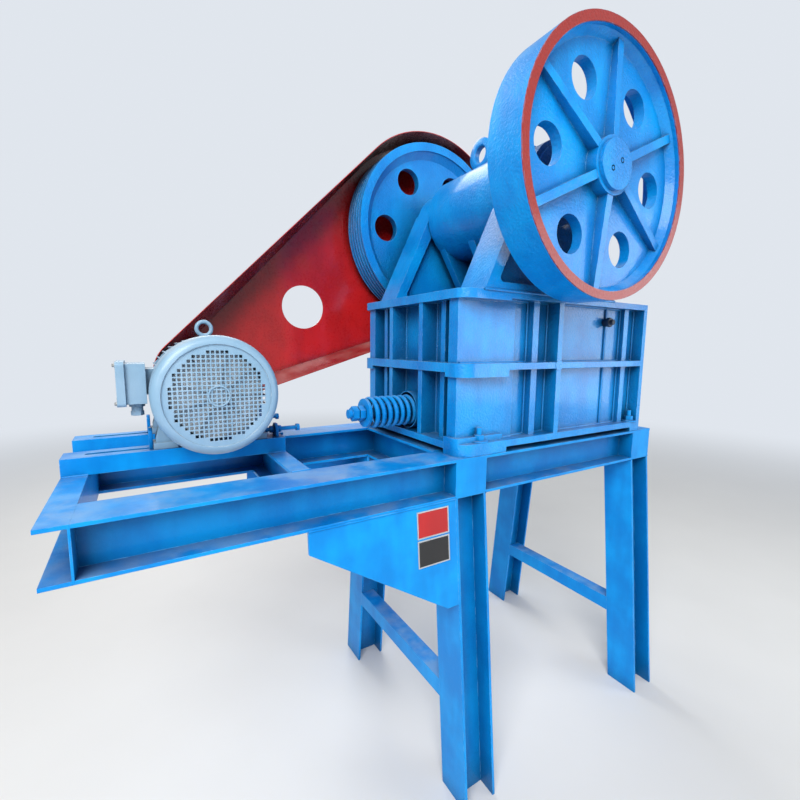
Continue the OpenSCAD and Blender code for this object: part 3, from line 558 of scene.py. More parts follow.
def bolt_tree() -> NodeTree:
    """Tree that stands a washer, a hex head and a stud end on each point, along its aim attribute."""
    washer_h, washer_r, corner_r, stud_r, stud_low = 0.22, 1.02, 0.577, 0.30, 1.2
    net = NodeTree("bolt_heads")
    for name in ("across", "head", "stud"):
        net.input(name)
    net.input("finish", "NodeSocketMaterial")
    given = net.begin()

    def times(socket: bpy.types.NodeSocket, factor: float) -> bpy.types.NodeSocket:
        """A socket times a number."""
        made = net.tree.nodes.new("ShaderNodeMath")
        made.operation = "MULTIPLY"
        net.tree.links.new(socket, made.inputs[0])
        made.inputs[1].default_value = factor
        return made.outputs[0]

    def drum(sides: int, radius: bpy.types.NodeSocket, depth: bpy.types.NodeSocket,
             low: bpy.types.NodeSocket) -> bpy.types.NodeSocket:
        """A cylinder that stands from the height low."""
        made = net.node("GeometryNodeMeshCylinder", Vertices=sides, Radius=radius, Depth=depth)
        middle = net.tree.nodes.new("ShaderNodeMath")
        middle.operation = "MULTIPLY_ADD"
        net.tree.links.new(depth, middle.inputs[0])
        middle.inputs[1].default_value = 0.5
        net.tree.links.new(low, middle.inputs[2])
        lift = net.node("ShaderNodeCombineXYZ", Z=middle.outputs[0])
        return net.node("GeometryNodeTransform", Geometry=made.outputs[0], Translation=lift.outputs[0]).outputs[0]

    across, head = given.outputs["across"], given.outputs["head"]
    washer = times(head, washer_h)
    parts = [
        drum(24, times(across, washer_r), washer, times(head, 0.0)),
        drum(HEX, times(across, corner_r), head, washer),
        drum(16, times(across, stud_r), given.outputs["stud"], times(head, stud_low)),
    ]
    joined = net.tree.nodes.new("GeometryNodeJoinGeometry")
    for part in parts:
        net.tree.links.new(part, joined.inputs[0])
    aim = net.node("GeometryNodeInputNamedAttribute", {"data_type": "FLOAT_VECTOR"}, Name="aim")
    turned = net.node("FunctionNodeAlignRotationToVector", {"axis": "Z"}, Vector=aim.outputs[0])
    placed = net.node("GeometryNodeInstanceOnPoints", Points=given.outputs[0], Instance=joined.outputs[0],
                      Rotation=turned.outputs[0])
    net.end(placed.outputs[0], given.outputs["finish"])
    return net


def weld_tree() -> NodeTree:
    """Tree that sweeps a rippled weld bead along each chain of edges."""
    ripple_len, waves, sides = 6 * MM, 130.0, HEX
    net = NodeTree("weld_beads")
    net.input("size")
    net.input("finish", "NodeSocketMaterial")
    given = net.begin()
    path = net.node("GeometryNodeMeshToCurve", Mesh=given.outputs[0])
    even = net.node("GeometryNodeResampleCurve", {"mode": "LENGTH"}, Curve=path.outputs[0], Length=ripple_len)
    ripple = net.node("ShaderNodeTexNoise", {"noise_dimensions": "3D"}, Scale=waves, Detail=1.0)
    grown = net.node("ShaderNodeMapRange", Value=ripple.outputs[0], From_Min=0.25, From_Max=0.75,
                     To_Min=0.7, To_Max=1.25)
    ring = net.node("GeometryNodeCurvePrimitiveCircle", Resolution=sides, Radius=given.outputs["size"])
    wide = net.node("GeometryNodeSetCurveRadius", Curve=even.outputs[0], Radius=grown.outputs[0])
    bead = net.tree.nodes.new("GeometryNodeCurveToMesh")
    net.tree.links.new(wide.outputs[0], bead.inputs["Curve"])
    net.tree.links.new(ring.outputs[0], bead.inputs["Profile Curve"])
    bead.inputs["Fill Caps"].default_value = True
    net.end(bead.outputs[0], given.outputs["finish"])
    return net


@dataclass
class Workshop:
    """Finishes and node trees that all the assemblies share."""

    paints: dict[str, bpy.types.Material]
    head_share: float = 0.62

    def __post_init__(self) -> None:
        """Builds the two shared trees."""
        self.bolts = bolt_tree()
        self.welds = weld_tree()

    def dress(self, thing: bpy.types.Object, paint: str, slot: Slot, body: Body, *nodes: str) -> bpy.types.Object:
        """Gives a piece its material and body, and hides the nodes that it stands for.

        Args:
            thing: The finished piece.
            paint: Name of its material.
            slot: The record's slot; not used.
            body: The body that it rides on.
            nodes: CAD nodes that it replaces.

        Returns:
            The piece.
        """
        thing.data.materials.clear()
        thing.data.materials.append(self.paints[paint])
        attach(thing, body.value)
        if nodes:
            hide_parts(*nodes)
        LOG.info("%s: %d faces on %s", thing.name, len(thing.data.polygons), body.value)
        return thing

    def bolt_set(self, name: str, places: Sequence[tuple[Point, Point]], across: float, paint: str, slot: Slot,
                 stud: float) -> bpy.types.Object:
        """Stands hex bolts on a surface of the fixed frame.

        Args:
            name: The piece's name.
            places: Pairs of seat and outward direction, in metres.
            across: Width across the flats, in metres.
            paint: Name of the material.
            slot: The record's slot.
            stud: Stud end beyond the head, as a share of the width.

        Returns:
            The piece.
        """
        mesh = bpy.data.meshes.new(name)
        mesh.from_pydata([tuple(p) for p, _ in places], [], [])
        aims = mesh.attributes.new("aim", "FLOAT_VECTOR", "POINT")
        for index, (_, aim) in enumerate(places):
            aims.data[index].vector = tuple(Vector(aim).normalized())
        thing = bpy.data.objects.new(name, mesh)
        bpy.context.scene.collection.objects.link(thing)
        self.bolts.run(thing, across=across, head=across * self.head_share, stud=across * stud,
                       finish=self.paints[paint])
        return self.dress(thing, paint, slot, Body.ROOT)

    def weld_set(self, name: str, paths: Sequence[Sequence[Point]], size: float, paint: str,
                 slot: Slot) -> bpy.types.Object:
        """Lays weld beads along paths on the fixed frame.

        Args:
            name: The piece's name.
            paths: Chains of points in metres.
            size: Radius of the bead in metres.
            paint: Name of the material.
            slot: The record's slot.

        Returns:
            The piece.
        """
        mesh = bpy.data.meshes.new(name)
        verts: list[tuple] = []
        edges: list[tuple[int, int]] = []
        for path in paths:
            start = len(verts)
            verts.extend(tuple(p) for p in path)
            edges.extend((start + i, start + i + 1) for i in range(len(path) - 1))
        mesh.from_pydata(verts, edges, [])
        thing = bpy.data.objects.new(name, mesh)
        bpy.context.scene.collection.objects.link(thing)
        self.welds.run(thing, size=size, finish=self.paints[paint])
        thing.data.shade_smooth()
        return self.dress(thing, paint, slot, Body.ROOT)


def rectangle(left: float, bottom: float, right: float, top: float) -> list[tuple[float, float]]:
    """Outline of a rectangle, anticlockwise from its lower left corner."""
    return [(left, bottom), (right, bottom), (right, top), (left, top)]


def gable(half: float, shoulder: float, top_half: float, top: float) -> list[tuple[float, float]]:
    """Outline of an upright lug.

    Args:
        half: Half of the width at the foot.
        shoulder: Height at which the sides start to lean in.
        top_half: Half of the width at the top.
        top: Height of the lug.

    Returns:
        Points (across, up), anticlockwise from the lower left corner.
    """
    return [(-half, 0), (half, 0), (half, shoulder), (top_half, top), (-top_half, top), (-half, shoulder)]


@dataclass
class Motor:
    """Motor with its perforated cowl, fan and fasteners."""

    shop: Workshop
    hole_pitch: float = 11.8 * MM
    hole_size: float = 8.0 * MM
    grille_r: float = 123 * MM
    rim_r: float = 22 * MM
    face_r: float = 139 * MM
    sink: float = 4 * MM
    sheet: float = 2 * MM
    hub_r: float = 25 * MM
    screw_r: float = 5.5 * MM
    screw_h: float = 3.4 * MM
    fan_place: float = 12 * MM
    fan_r: float = 120 * MM
    fan_blades: int = 9
    foot_h: float = 18 * MM
    half_feet: float = 127 * MM
    shield_ring: float = 140 * MM
    lid_h: float = 120 * MM
    lid_inset: float = 9 * MM

    def __post_init__(self) -> None:
        """Reads the places of the cowl and the shaft from the frame."""
        self.low, self.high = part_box("fan_cowl")
        self.radius = (self.high.x - self.low.x) / 2
        self.x = (self.high.x + self.low.x) / 2
        self.z = (self.high.z + self.low.z) / 2

    def cowl(self) -> None:
        """Cup with a rounded rim, a grille of square holes and a small ring at its middle."""
        pile = MeshPile()
        rim = [(self.rim_r * (1 - math.sin(a)), self.radius - self.rim_r * (1 - math.cos(a)))
               for a in (math.radians(d) for d in range(0, 91, 15))]
        length = self.high.y - self.low.y
        back = self.sink + self.sheet
        wall_rim, wall_end, lip = 4 * MM, 3 * MM, 3 * MM
        profile = [(length, self.radius), *rim, (0, self.face_r), (back, self.face_r), (back, self.face_r + lip),
                   (self.rim_r, self.radius - wall_rim), (length, self.radius - wall_end)]
        pile.lathe(profile, (self.x, self.low.y, self.z), ACROSS, segments=96)
        self.grille(pile)
        ring_w, lean, proud, ring_y = 4 * MM, 0.5 * MM, 0.5 * MM, 1.5 * MM
        ring = [(proud, self.hub_r), (proud, self.hub_r + ring_w), (back, self.hub_r + ring_w + lean),
                (back, self.hub_r - lean)]
        pile.lathe(ring, (self.x, self.low.y + ring_y, self.z), ACROSS, segments=40)
        from_end, bite, brim, crown = 12 * MM, 1 * MM, 0.8 * MM, 3 * MM
        screw = [(0, self.screw_r), (brim, self.screw_r), (self.screw_h, crown), (self.screw_h, 0), (0, 0)]
        for angle in (45, 135, 225, 315):
            aim = Vector((math.cos(math.radians(angle)), 0, math.sin(math.radians(angle))))
            seat = Vector((self.x, self.high.y - from_end, self.z)) + aim * (self.radius - bite)
            pile.lathe(screw, seat, aim, segments=16)
        self.shop.dress(pile.build("fan_cowl_sheet"), "motor", Slot.MOTOR, Body.ROOT, "fan_cowl")

    def grille(self, pile: MeshPile) -> None:
        """Adds the perforated face, one lattice of bars with square holes inside the grille's circle."""
        half = int(self.face_r / self.hole_pitch) + 1
        lines: list[float] = []
        for index in range(-half, half + 1):
            middle = index * self.hole_pitch
            lines += [middle - self.hole_size / 2, middle + self.hole_size / 2]
        count = len(lines)
        front = self.low.y + self.sink
        verts = [(self.x + a, y, self.z + b) for y in (front, front + self.sheet) for b in lines for a in lines]
        seated = 5 * MM
        reach = self.face_r + seated
        solid: set[tuple[int, int]] = set()
        for row in range(count - 1):
            for col in range(count - 1):
                a, b = (lines[col] + lines[col + 1]) / 2, (lines[row] + lines[row + 1]) / 2
                is_hole = row % 2 == 0 and col % 2 == 0 and math.hypot(a, b) < self.grille_r
                if not is_hole and math.hypot(a, b) < reach:
                    solid.add((row, col))
        faces = []
        layer = count * count
        for row, col in sorted(solid):
            corner, above = row * count + col, (row + 1) * count + col
            quad = [corner, corner + 1, above + 1, above]
            faces += [quad, [i + layer for i in reversed(quad)]]
            for side, (down, along) in enumerate(((-1, 0), (0, 1), (1, 0), (0, -1))):
                if (row + down, col + along) not in solid:
                    i, j = quad[side], quad[(side + 1) % 4]
                    faces.append([j, i, i + layer, j + layer])
        used = sorted({i for face in faces for i in face})
        place = {old: new for new, old in enumerate(used)}
        pile.add([verts[i] for i in used], [[place[i] for i in face] for face in faces])

    def fan(self) -> None:
        """Fan that shows through the grille: a disc, a hub and straight blades."""
        pile = MeshPile()
        start = self.low.y + self.fan_place
        centre = Vector((self.x, 0, self.z))
        disc_near, disc_far = 20 * MM, 24 * MM
        disc = [(disc_near, 0), (disc_near, self.fan_r), (disc_far, self.fan_r), (disc_far, 0)]
        pile.lathe(disc, (self.x, start, self.z), ACROSS, segments=48)
        hub_len, hub_front, hub_back = 36 * MM, 30 * MM, 34 * MM
        pile.lathe([(0, 0), (0, hub_front), (hub_len, hub_back), (hub_len, 0)], (self.x, start, self.z), ACROSS)
        root, tip, back, half = 28 * MM, 118 * MM, 21 * MM, 1.5 * MM
        blade = [(root, 6 * MM), (tip, 2 * MM), (tip, back), (root, back)]
        for index in range(self.fan_blades):
            angle = 2 * math.pi * index / self.fan_blades
            out = Vector((math.cos(angle), 0, math.sin(angle)))
            across = Vector((-math.sin(angle), 0, math.cos(angle)))
            pile.prism(blade, -half, half,
                       lambda a, b, depth: centre + out * a + Vector((0, start + b, 0)) + across * depth)
        self.shop.dress(pile.build("cooling_fan"), "fan", Slot.MOTOR, Body.ROOT)

    def fasteners(self) -> None:
        """Foot bolts, end shield bolts and the terminal box's screws."""
        foot_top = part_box("motor_frame")[0].z + self.foot_h
        rail_ys = [(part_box(n)[0].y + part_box(n)[1].y) / 2 for n in RAILS]
        feet = [((self.x + side * self.half_feet, y, foot_top), UP) for y in rail_ys for side in (-1, 1)]
        self.shop.bolt_set("motor_foot_bolts", feet, 24 * MM, "blue", Slot.BLUE, stud=0.5)
        seat = Vector((self.x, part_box("motor_end_shield")[0].y + 10 * MM, self.z))
        ring = [(seat + Vector((math.cos(a), 0, math.sin(a))) * self.shield_ring, ACROSS)
                for a in (math.radians(30 + 60 * i) for i in range(6))]
        self.shop.bolt_set("end_shield_bolts", ring, 13 * MM, "motor", Slot.MOTOR, stud=0.1)
        low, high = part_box("terminal_box")
        lid_low = high.z - self.lid_h
        corners = [((low.x, y, z), (-1, 0, 0)) for y in (low.y + self.lid_inset, high.y - self.lid_inset)
                   for z in (lid_low + self.lid_inset, high.z - self.lid_inset)]
        self.shop.bolt_set("terminal_box_screws", corners, 8 * MM, "zinc", Slot.MACHINED, stud=0.05)

    def build(self) -> None:
        """Builds every piece of the motor."""
        self.cowl()
        self.fan()
        self.fasteners()


@dataclass
class Stand:
    """Welds, blank plates and motor jacks of the stand."""

    shop: Workshop
    bead: float = 3.2 * MM
    plate_w: float = 116 * MM
    plate_h: float = 82 * MM
    plate_t: float = 1.2 * MM
    plate_rim: float = 4 * MM
    plate_drop: float = 14 * MM
    plate_gap: float = 5 * MM
    plate_from_end: float = 146 * MM
    screw_rise: float = 22 * MM
    screw_r: float = 7 * MM
    screw_end: float = 55 * MM
    nut_r: float = 12.5 * MM
    nut_h: float = 11 * MM

    def welds(self) -> None:
        """Beads where rails, cross members, legs and gussets meet the beams."""
        near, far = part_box("near_long_beam"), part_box("far_long_beam")
        paths: list[list[Point]] = []
        rail_start, rail_run = 2 * MM, 54 * MM
        for name in RAILS:
            low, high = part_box(name)
            for y in (low.y, high.y):
                for x0, x1 in ((low.x + rail_start, near[0].x), (high.x - rail_run, high.x)):
                    paths.append([(x0, y, low.z), (x1, y, low.z)])
        for name in ("middle_cross_channel", "rear_cross_beam", "front_cross_beam"):
            low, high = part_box(name)
            for y in (near[1].y, far[0].y):
                paths.append([(low.x, y, high.z), (high.x, y, high.z)])
        for name, y in (("near_gusset", near[0].y), ("far_gusset", far[1].y)):
            low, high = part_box(name)
            paths.append([(low.x, y, high.z), (high.x, y, high.z)])
        inside_end = 1.3 * self.bead
        for name, beam in (("rear_near_leg", near), ("front_near_leg", near),
                           ("rear_far_leg", far), ("front_far_leg", far)):
            low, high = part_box(name)
            for x in (low.x, min(high.x, beam[1].x - inside_end)):
                paths.append([(x, beam[0].y, high.z), (x, beam[1].y, high.z)])
        self.shop.weld_set("stand_welds", paths, self.bead, "blue", Slot.BLUE)

    def blank_plates(self) -> None:
        """Two bare plates on the near gusset, one red and one dark, with pale borders."""
        low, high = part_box("near_gusset")
        beam_low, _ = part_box("near_long_beam")
        lean = (beam_low.y - low.y) / (high.z - low.z)
        left = high.x - self.plate_from_end

        def on_gusset(a: float, b: float, depth: float) -> Point:
            """Point at a along the beam and b down from the beam, depth proud of the gusset."""
            return (left + a, beam_low.y - lean * b - depth, high.z - b)

        rim, width = self.plate_rim, self.plate_w
        seat, panel_back, panel_front = 0.1 * MM, self.plate_t * 0.8, self.plate_t * 1.25
        lower = self.plate_drop + self.plate_h + self.plate_gap
        for name, paint, top in (("upper_plate", "plate_red", self.plate_drop), ("lower_plate", "plate_dark", lower)):
            bottom = top + self.plate_h
            border, panel = MeshPile(), MeshPile()
            border.prism(rectangle(0, top, width, bottom), seat, self.plate_t, on_gusset)
            panel.prism(rectangle(rim, top + rim, width - rim, bottom - rim), panel_back, panel_front, on_gusset)
            self.shop.dress(border.build(name + "_border"), "plate_pale", Slot.MACHINED, Body.ROOT)
            self.shop.dress(panel.build(name + "_panel"), paint, Slot.MACHINED, Body.ROOT)

    def jack_lugs(self) -> None:
        """Front lugs that hold the jack screws, and rear stops behind the motor's feet."""
        pile = MeshPile()
        lug = gable(24 * MM, 26 * MM, 10 * MM, 42 * MM)
        stop = gable(20 * MM, 52 * MM, 10 * MM, 60 * MM)
        lug_from_end, thick, foot_in, clear = 26 * MM, 10 * MM, 9 * MM, 1 * MM
        stop_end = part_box("motor_frame")[0].x + foot_in - clear
        for name in RAILS:
            low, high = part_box(name)
            y = (low.y + high.y) / 2
            lug_start = high.x - lug_from_end
            pile.prism(lug, lug_start, lug_start + thick, lambda a, b, depth: (depth, y + a, high.z + b))
            pile.prism(stop, stop_end - thick, stop_end, lambda a, b, depth: (depth, y + a, high.z + b))
        self.shop.dress(pile.build("jack_lugs", 1.5 * MM), "blue", Slot.BLUE, Body.ROOT)

    def jack_screws(self) -> None:
        """Screws and nuts that push the motor along its rails to tension the belts."""
        pile = MeshPile()
        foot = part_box("motor_frame")[1].x
        nut = [(0, 0), (0, self.nut_r), (self.nut_h, self.nut_r), (self.nut_h, 0)]
        for name in RAILS:
            low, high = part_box(name)
            y, z = (low.y + high.y) / 2, high.z + self.screw_rise
            length = high.x + self.screw_end - foot
            rod = [(0, 0), (0, self.screw_r), (length, self.screw_r), (length, 0)]
            pile.lathe(rod, (foot, y, z), ALONG, segments=20)
            for offset in (-40 * MM, -14 * MM, 48 * MM):
                pile.lathe(nut, (high.x + offset, y, z), ALONG, segments=HEX, turn=0.3)
        self.shop.dress(pile.build("jack_screws", 0.8 * MM), "blue", Slot.BLUE, Body.ROOT)

    def build(self) -> None:
        """Builds every piece of the stand."""
        self.welds()
        self.blank_plates()
        self.jack_lugs()
        self.jack_screws()


@dataclass
class Crusher:
    """Fasteners, welds and lifting ring of the crusher body and shaft."""

    shop: Workshop
    bead: float = 5.0 * MM
    foot_rise: float = 40 * MM
    cheek_rise: float = 446 * MM
    cheek_inset: float = 42 * MM
    cheek_from_end: float = 228 * MM
    side_bays: tuple[tuple[int, int, int], ...] = (
        (20, 254, 42), (262, 326, 54), (358, 428, 54), (455, 754, 42), (762, 856, 46), (888, 952, 46))
    side_levels: tuple[tuple[int, int], ...] = ((40, 273), (295, 501))
    rear_levels: tuple[tuple[int, int], ...] = ((40, 265), (295, 494))
    rear_ribs: tuple[int, ...] = (-192, -101, 101, 192)
    rear_wall_h: float = 523 * MM

    def body_bolts(self) -> None:
        """Foundation bolts at the body's corners and the jaw plate's side bolt on each side."""
        body_low, body_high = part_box("near_side_frame")
        sides = ((body_low.y, 1), (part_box("far_side_frame")[1].y, -1))
        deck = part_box("near_long_beam")[1].z
        ends = ((body_low.x + 100 * MM, 30 * MM), (body_high.x - 45 * MM, 22 * MM))
        places = [((x, y + side * inset, deck + self.foot_rise), UP) for y, side in sides for x, inset in ends]
        self.shop.bolt_set("foundation_bolts", places, 30 * MM, "blue", Slot.BLUE, stud=0.8)
        pile = MeshPile()
        boss_r, boss_end, shank_r, shank_end = 15 * MM, 16 * MM, 10 * MM, 40 * MM
        shank = [(0, 0), (0, boss_r), (boss_end, boss_r), (boss_end, shank_r), (shank_end, shank_r), (shank_end, 0)]
        nut_start, nut_end, nut_r = 14 * MM, 28 * MM, 19 * MM
        nut = [(nut_start, 0), (nut_start, nut_r), (nut_end, nut_r), (nut_end, 0)]
        for y, side in sides:
            seat = (body_high.x - self.cheek_from_end, y + side * self.cheek_inset, deck + self.cheek_rise)
            pile.lathe(shank, seat, (0, -side, 0), segments=24)
            pile.lathe(nut, seat, (0, -side, 0), segments=HEX)
        self.shop.dress(pile.build("cheek_bolts", 0.8 * MM), "dark", Slot.DARK, Body.ROOT)

    def side_welds(self) -> list[list[Point]]:
        """Chains of points round the bays between the side walls' ribs and bands."""
        paths: list[list[Point]] = []
        first_start, corner_end = self.side_bays[0][:2]
        for name, side in (("near_side_frame", -1), ("far_side_frame", 1)):
            low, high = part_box(name)
            edge = low.y if side < 0 else high.y
            for first, last, inset in self.side_bays:
                y = edge - side * inset * MM
                x0, x1 = low.x + first * MM, low.x + last * MM
                for bottom, top in self.side_levels:
                    z0, z1 = low.z + bottom * MM, low.z + top * MM
                    paths.append([(x0, y, z1), (x1, y, z1)])
                    paths.append([(x0, y, z0), (x1, y, z0)])
                    if first > first_start:
                        paths.append([(x0, y, z0), (x0, y, z1)])
                    if last != corner_end:
                        paths.append([(x1, y, z0), (x1, y, z1)])
        return paths

    def rear_welds(self) -> list[list[Point]]:
        """Chains of points along both sides of the rear wall's ribs."""
        low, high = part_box("rear_frame_wall")
        middle, bottom = (low.y + high.y) / 2, high.z - self.rear_wall_h
        x, half_rib = low.x + 68 * MM, 12.5
        paths: list[list[Point]] = []
        for offset in self.rear_ribs:
            for side in (-1, 1):
                y = middle + (offset + side * half_rib) * MM
                for z0, z1 in self.rear_levels:
                    paths.append([(x, y, bottom + z0 * MM), (x, y, bottom + z1 * MM)])
        return paths

    def body_welds(self) -> None:
        """Beads round the pedestals' feet, along the side walls' ribs and bands, and along the rear wall's ribs."""
        paths: list[list[Point]] = []
        for name in ("near_pedestal", "far_pedestal"):
            low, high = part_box(name)
            corners = rectangle(low.x, low.y, high.x, high.y)
            paths.append([(x, y, low.z) for x, y in (*corners, corners[0])])
        paths += self.side_welds() + self.rear_welds()
        self.shop.weld_set("body_welds", paths, self.bead, "cast_blue", Slot.BLUE)

    def lifting_ring(self) -> None:
        """Thick cast ring on the pitman's barrel, facing along the beams, in place of the plain lug."""
        low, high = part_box("lifting_lug")
        x, y, z = (low.x + high.x) / 2, (low.y + high.y) / 2, high.z - 14 * MM
        half, outer, inner, edge = 15 * MM, 62 * MM, 32 * MM, 5 * MM
        mid_edge, hole_edge = edge * 0.4, edge * 0.7
        pile = MeshPile()
        profile = [(-half, inner + edge), (-half, outer - edge), (-half + mid_edge, outer - mid_edge),
                   (-half + edge, outer), (half - edge, outer), (half - mid_edge, outer - mid_edge),
                   (half, outer - edge), (half, inner + edge), (half - hole_edge, inner), (-half + hole_edge, inner)]
        pile.lathe(profile, (x, y, z), ALONG, segments=64)
        barrel_top = low.z + 8 * MM
        buried, fillet_top = barrel_top - 12 * MM, barrel_top + 12 * MM
        foot_low, foot_mid, foot_top, foot_half = 50 * MM, 46 * MM, 38 * MM, 13 * MM
        neck, tip = z - 34 * MM, z - 46 * MM
        foot = [(-foot_low, buried), (foot_low, buried), (foot_mid, fillet_top), (foot_top, neck), (0, tip),
                (-foot_top, neck), (-foot_mid, fillet_top)]
        pile.prism(foot, -foot_half, foot_half, lambda a, b, depth: (x + depth, y + a, b))
        self.shop.dress(pile.build("lifting_ring"), "cast_blue", Slot.BLUE, Body.JAW, "lifting_lug")

    def hub_screws(self) -> None:
        """Two cap screws on the flywheel's hub."""
        low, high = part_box("flywheel_cap")
        x, z = (low.x + high.x) / 2, (low.z + high.z) / 2
        ring, head_r, head_h, key_r, key_depth = 26 * MM, 8.5 * MM, 4 * MM, 5 * MM, 3 * MM
        head = [(0, key_r), (0, head_r), (head_h, head_r), (head_h, 0), (key_depth, 0), (key_depth, key_r)]
        pile = MeshPile()
        for angle in (35, 215):
            seat = (x + ring * math.cos(math.radians(angle)), low.y, z + ring * math.sin(math.radians(angle)))
            pile.lathe(head, seat, ACROSS, segments=20)
        self.shop.dress(pile.build("hub_screws"), "dark", Slot.DARK, Body.SHAFT)

    def build(self) -> None:
        """Builds the crusher's small pieces."""
        self.body_bolts()
        self.body_welds()
        self.lifting_ring()
        self.hub_screws()


@dataclass(frozen=True)
class Lamp:
    """One soft area lamp."""

    name: str
    place: Point
    aim: Point
    size: float
    watts: float
    tint: Colour

    def build(self) -> None:
        """Hangs the lamp and turns it to its aim."""
        data = bpy.data.lights.new(self.name, "AREA")
        data.size = self.size
        data.energy = self.watts
        data.color = self.tint
        thing = bpy.data.objects.new(self.name, data)
        bpy.context.scene.collection.objects.link(thing)
        thing.location = self.place
        thing.rotation_euler = (Vector(self.aim) - Vector(self.place)).to_track_quat("-Z", "Y").to_euler()


@dataclass
class Studio:
    """Floor, lamps and the camera at the photograph's angle."""

    turn: float = 31.42
    tilt: float = -7.21
    roll: float = 0.55
    eye: tuple[float, float, float] = (-0.8525, -1.352, 1.4967)
    focal_px: float = 426.762
    frame_px: float = 800.0
    sensor: float = 36.0
    sky: tuple[float, float, float, float] = (0.88, 0.93, 1.0, 1.0)
    horizon: tuple[float, float, float, float] = (0.748, 0.79, 0.85, 1.0)
    sky_light: float = 0.28
    sky_shown: float = 0.85
    sky_mirrored: float = 0.35
    floor_reach: float = 30.0
    fade_start: float = 2.6
    fade_end: float = 9.0
    lamps: tuple[Lamp, ...] = (
        Lamp("key", (-3.2, -3.6, 4.6), (0, 0, 1.4), 3.5, 400, (1.0, 0.98, 0.95)),
        Lamp("window", (3.8, -3.4, 1.9), (0.4, 0, 1.2), 2.4, 80, (0.92, 0.96, 1.0)),
        Lamp("back", (0.5, 4.2, 4.4), (0, 0, 1.3), 3.5, 170, (1.0, 1.0, 1.0)),
    )

    def camera(self) -> None:
        """Places the camera."""
        data = bpy.data.cameras.new("camera")
        data.sensor_width = self.sensor
        data.lens = self.sensor * self.focal_px / self.frame_px
        data.clip_start = 0.02
        thing = bpy.data.objects.new("camera", data)
        bpy.context.scene.collection.objects.link(thing)
        turned = (Matrix.Rotation(math.radians(-self.turn), 4, "Z")
                  @ Matrix.Rotation(math.radians(90 + self.tilt), 4, "X")
                  @ Matrix.Rotation(math.radians(self.roll), 4, "Z"))
        thing.matrix_world = Matrix.Translation(self.eye) @ turned
        bpy.context.scene.camera = thing

    def world(self) -> None:
        """Even pale surroundings, brighter to the camera and in reflections than as light."""
        world = bpy.data.worlds.new("studio")
        world.use_nodes = True
        bpy.context.scene.world = world
        tree = world.node_tree
        back = tree.nodes["Background"]
        back.inputs["Color"].default_value = self.sky
        path = tree.nodes.new("ShaderNodeLightPath")
        shown = tree.nodes.new("ShaderNodeMath")
        shown.operation = "MULTIPLY_ADD"
        shown.inputs[1].default_value = self.sky_mirrored
        tree.links.new(path.outputs["Is Glossy Ray"], shown.inputs[0])
        tree.links.new(path.outputs["Is Camera Ray"], shown.inputs[2])
        level = tree.nodes.new("ShaderNodeMapRange")
        level.inputs["To Min"].default_value = self.sky_light
        level.inputs["To Max"].default_value = self.sky_shown
        tree.links.new(shown.outputs[0], level.inputs["Value"])
        tree.links.new(level.outputs[0], back.inputs["Strength"])

    def floor(self) -> None:
        """Pale floor under the stand, which fades into the surroundings far from it."""
        reach = self.floor_reach
        corners = [(x, y, 0) for x, y in rectangle(-reach, -reach, reach, reach)]
        thing = link_mesh("floor", corners, [(0, 1, 2, 3)])
        paint = Painter("pale_floor")
        mottle = paint.noise(1.2, 4)
        paint.set(Base_Color=paint.mix(mottle, (0.70, 0.70, 0.69), (0.78, 0.78, 0.77)), Roughness=0.65)
        x, y, _ = paint.axes()
        path = paint.node("ShaderNodeLightPath")
        mirrored = Sock(paint.tree, path.outputs["Is Glossy Ray"]) * self.sky_mirrored
        shown = Sock(paint.tree, path.outputs["Is Camera Ray"]) + mirrored
        glow = paint.node("ShaderNodeEmission", Color=self.horizon)
        far = (x * x + y * y).sqrt().step(self.fade_start, self.fade_end)
        fade = paint.node("ShaderNodeMixShader", Fac=far * shown)
        paint.tree.links.new(paint.shader.outputs[0], fade.inputs[1])
        paint.tree.links.new(glow.outputs[0], fade.inputs[2])
        paint.tree.links.new(fade.outputs[0], paint.tree.nodes["Material Output"].inputs["Surface"])
        thing.data.materials.append(paint.material)

    def build(self) -> None:
        """Builds the whole studio."""
        self.camera()
        self.world()
        self.floor()
        for lamp in self.lamps:
            lamp.build()


def red_rim(low: Point, rim_r: float, centre: tuple[float, float]) -> Accent:
    """Accent that paints the flywheel's near rim face red, with an uneven edge.

    Args:
        low: Lowest corner of the wheel.
        rim_r: Inner radius of the rim.
        centre: X and Z of the shaft.

    Returns:
        A function that tints a colour.
    """
    inside, outside, sway = 0.5 * MM, 1.5 * MM, 4 * MM
    dark_red, light_red = (0.22, 0.015, 0.014), (0.42, 0.050, 0.042)

    def tint(paint: Painter, colour: object) -> object:
        """Mixes the red over the given colour."""
        x, y, z = paint.axes()
        reach = (x - centre[0]) * (x - centre[0]) + (z - centre[1]) * (z - centre[1])
        wobble = paint.noise(60, 3) * sway
        near = 1 - (y - wobble).step(low[1] + inside, low[1] + outside)
        ring = (reach.sqrt() + wobble).step(rim_r - inside, rim_r + outside)
        streak = paint.noise(150, 4)
        return paint.mix(near * ring, colour, paint.mix(streak, dark_red, light_red))

    return tint


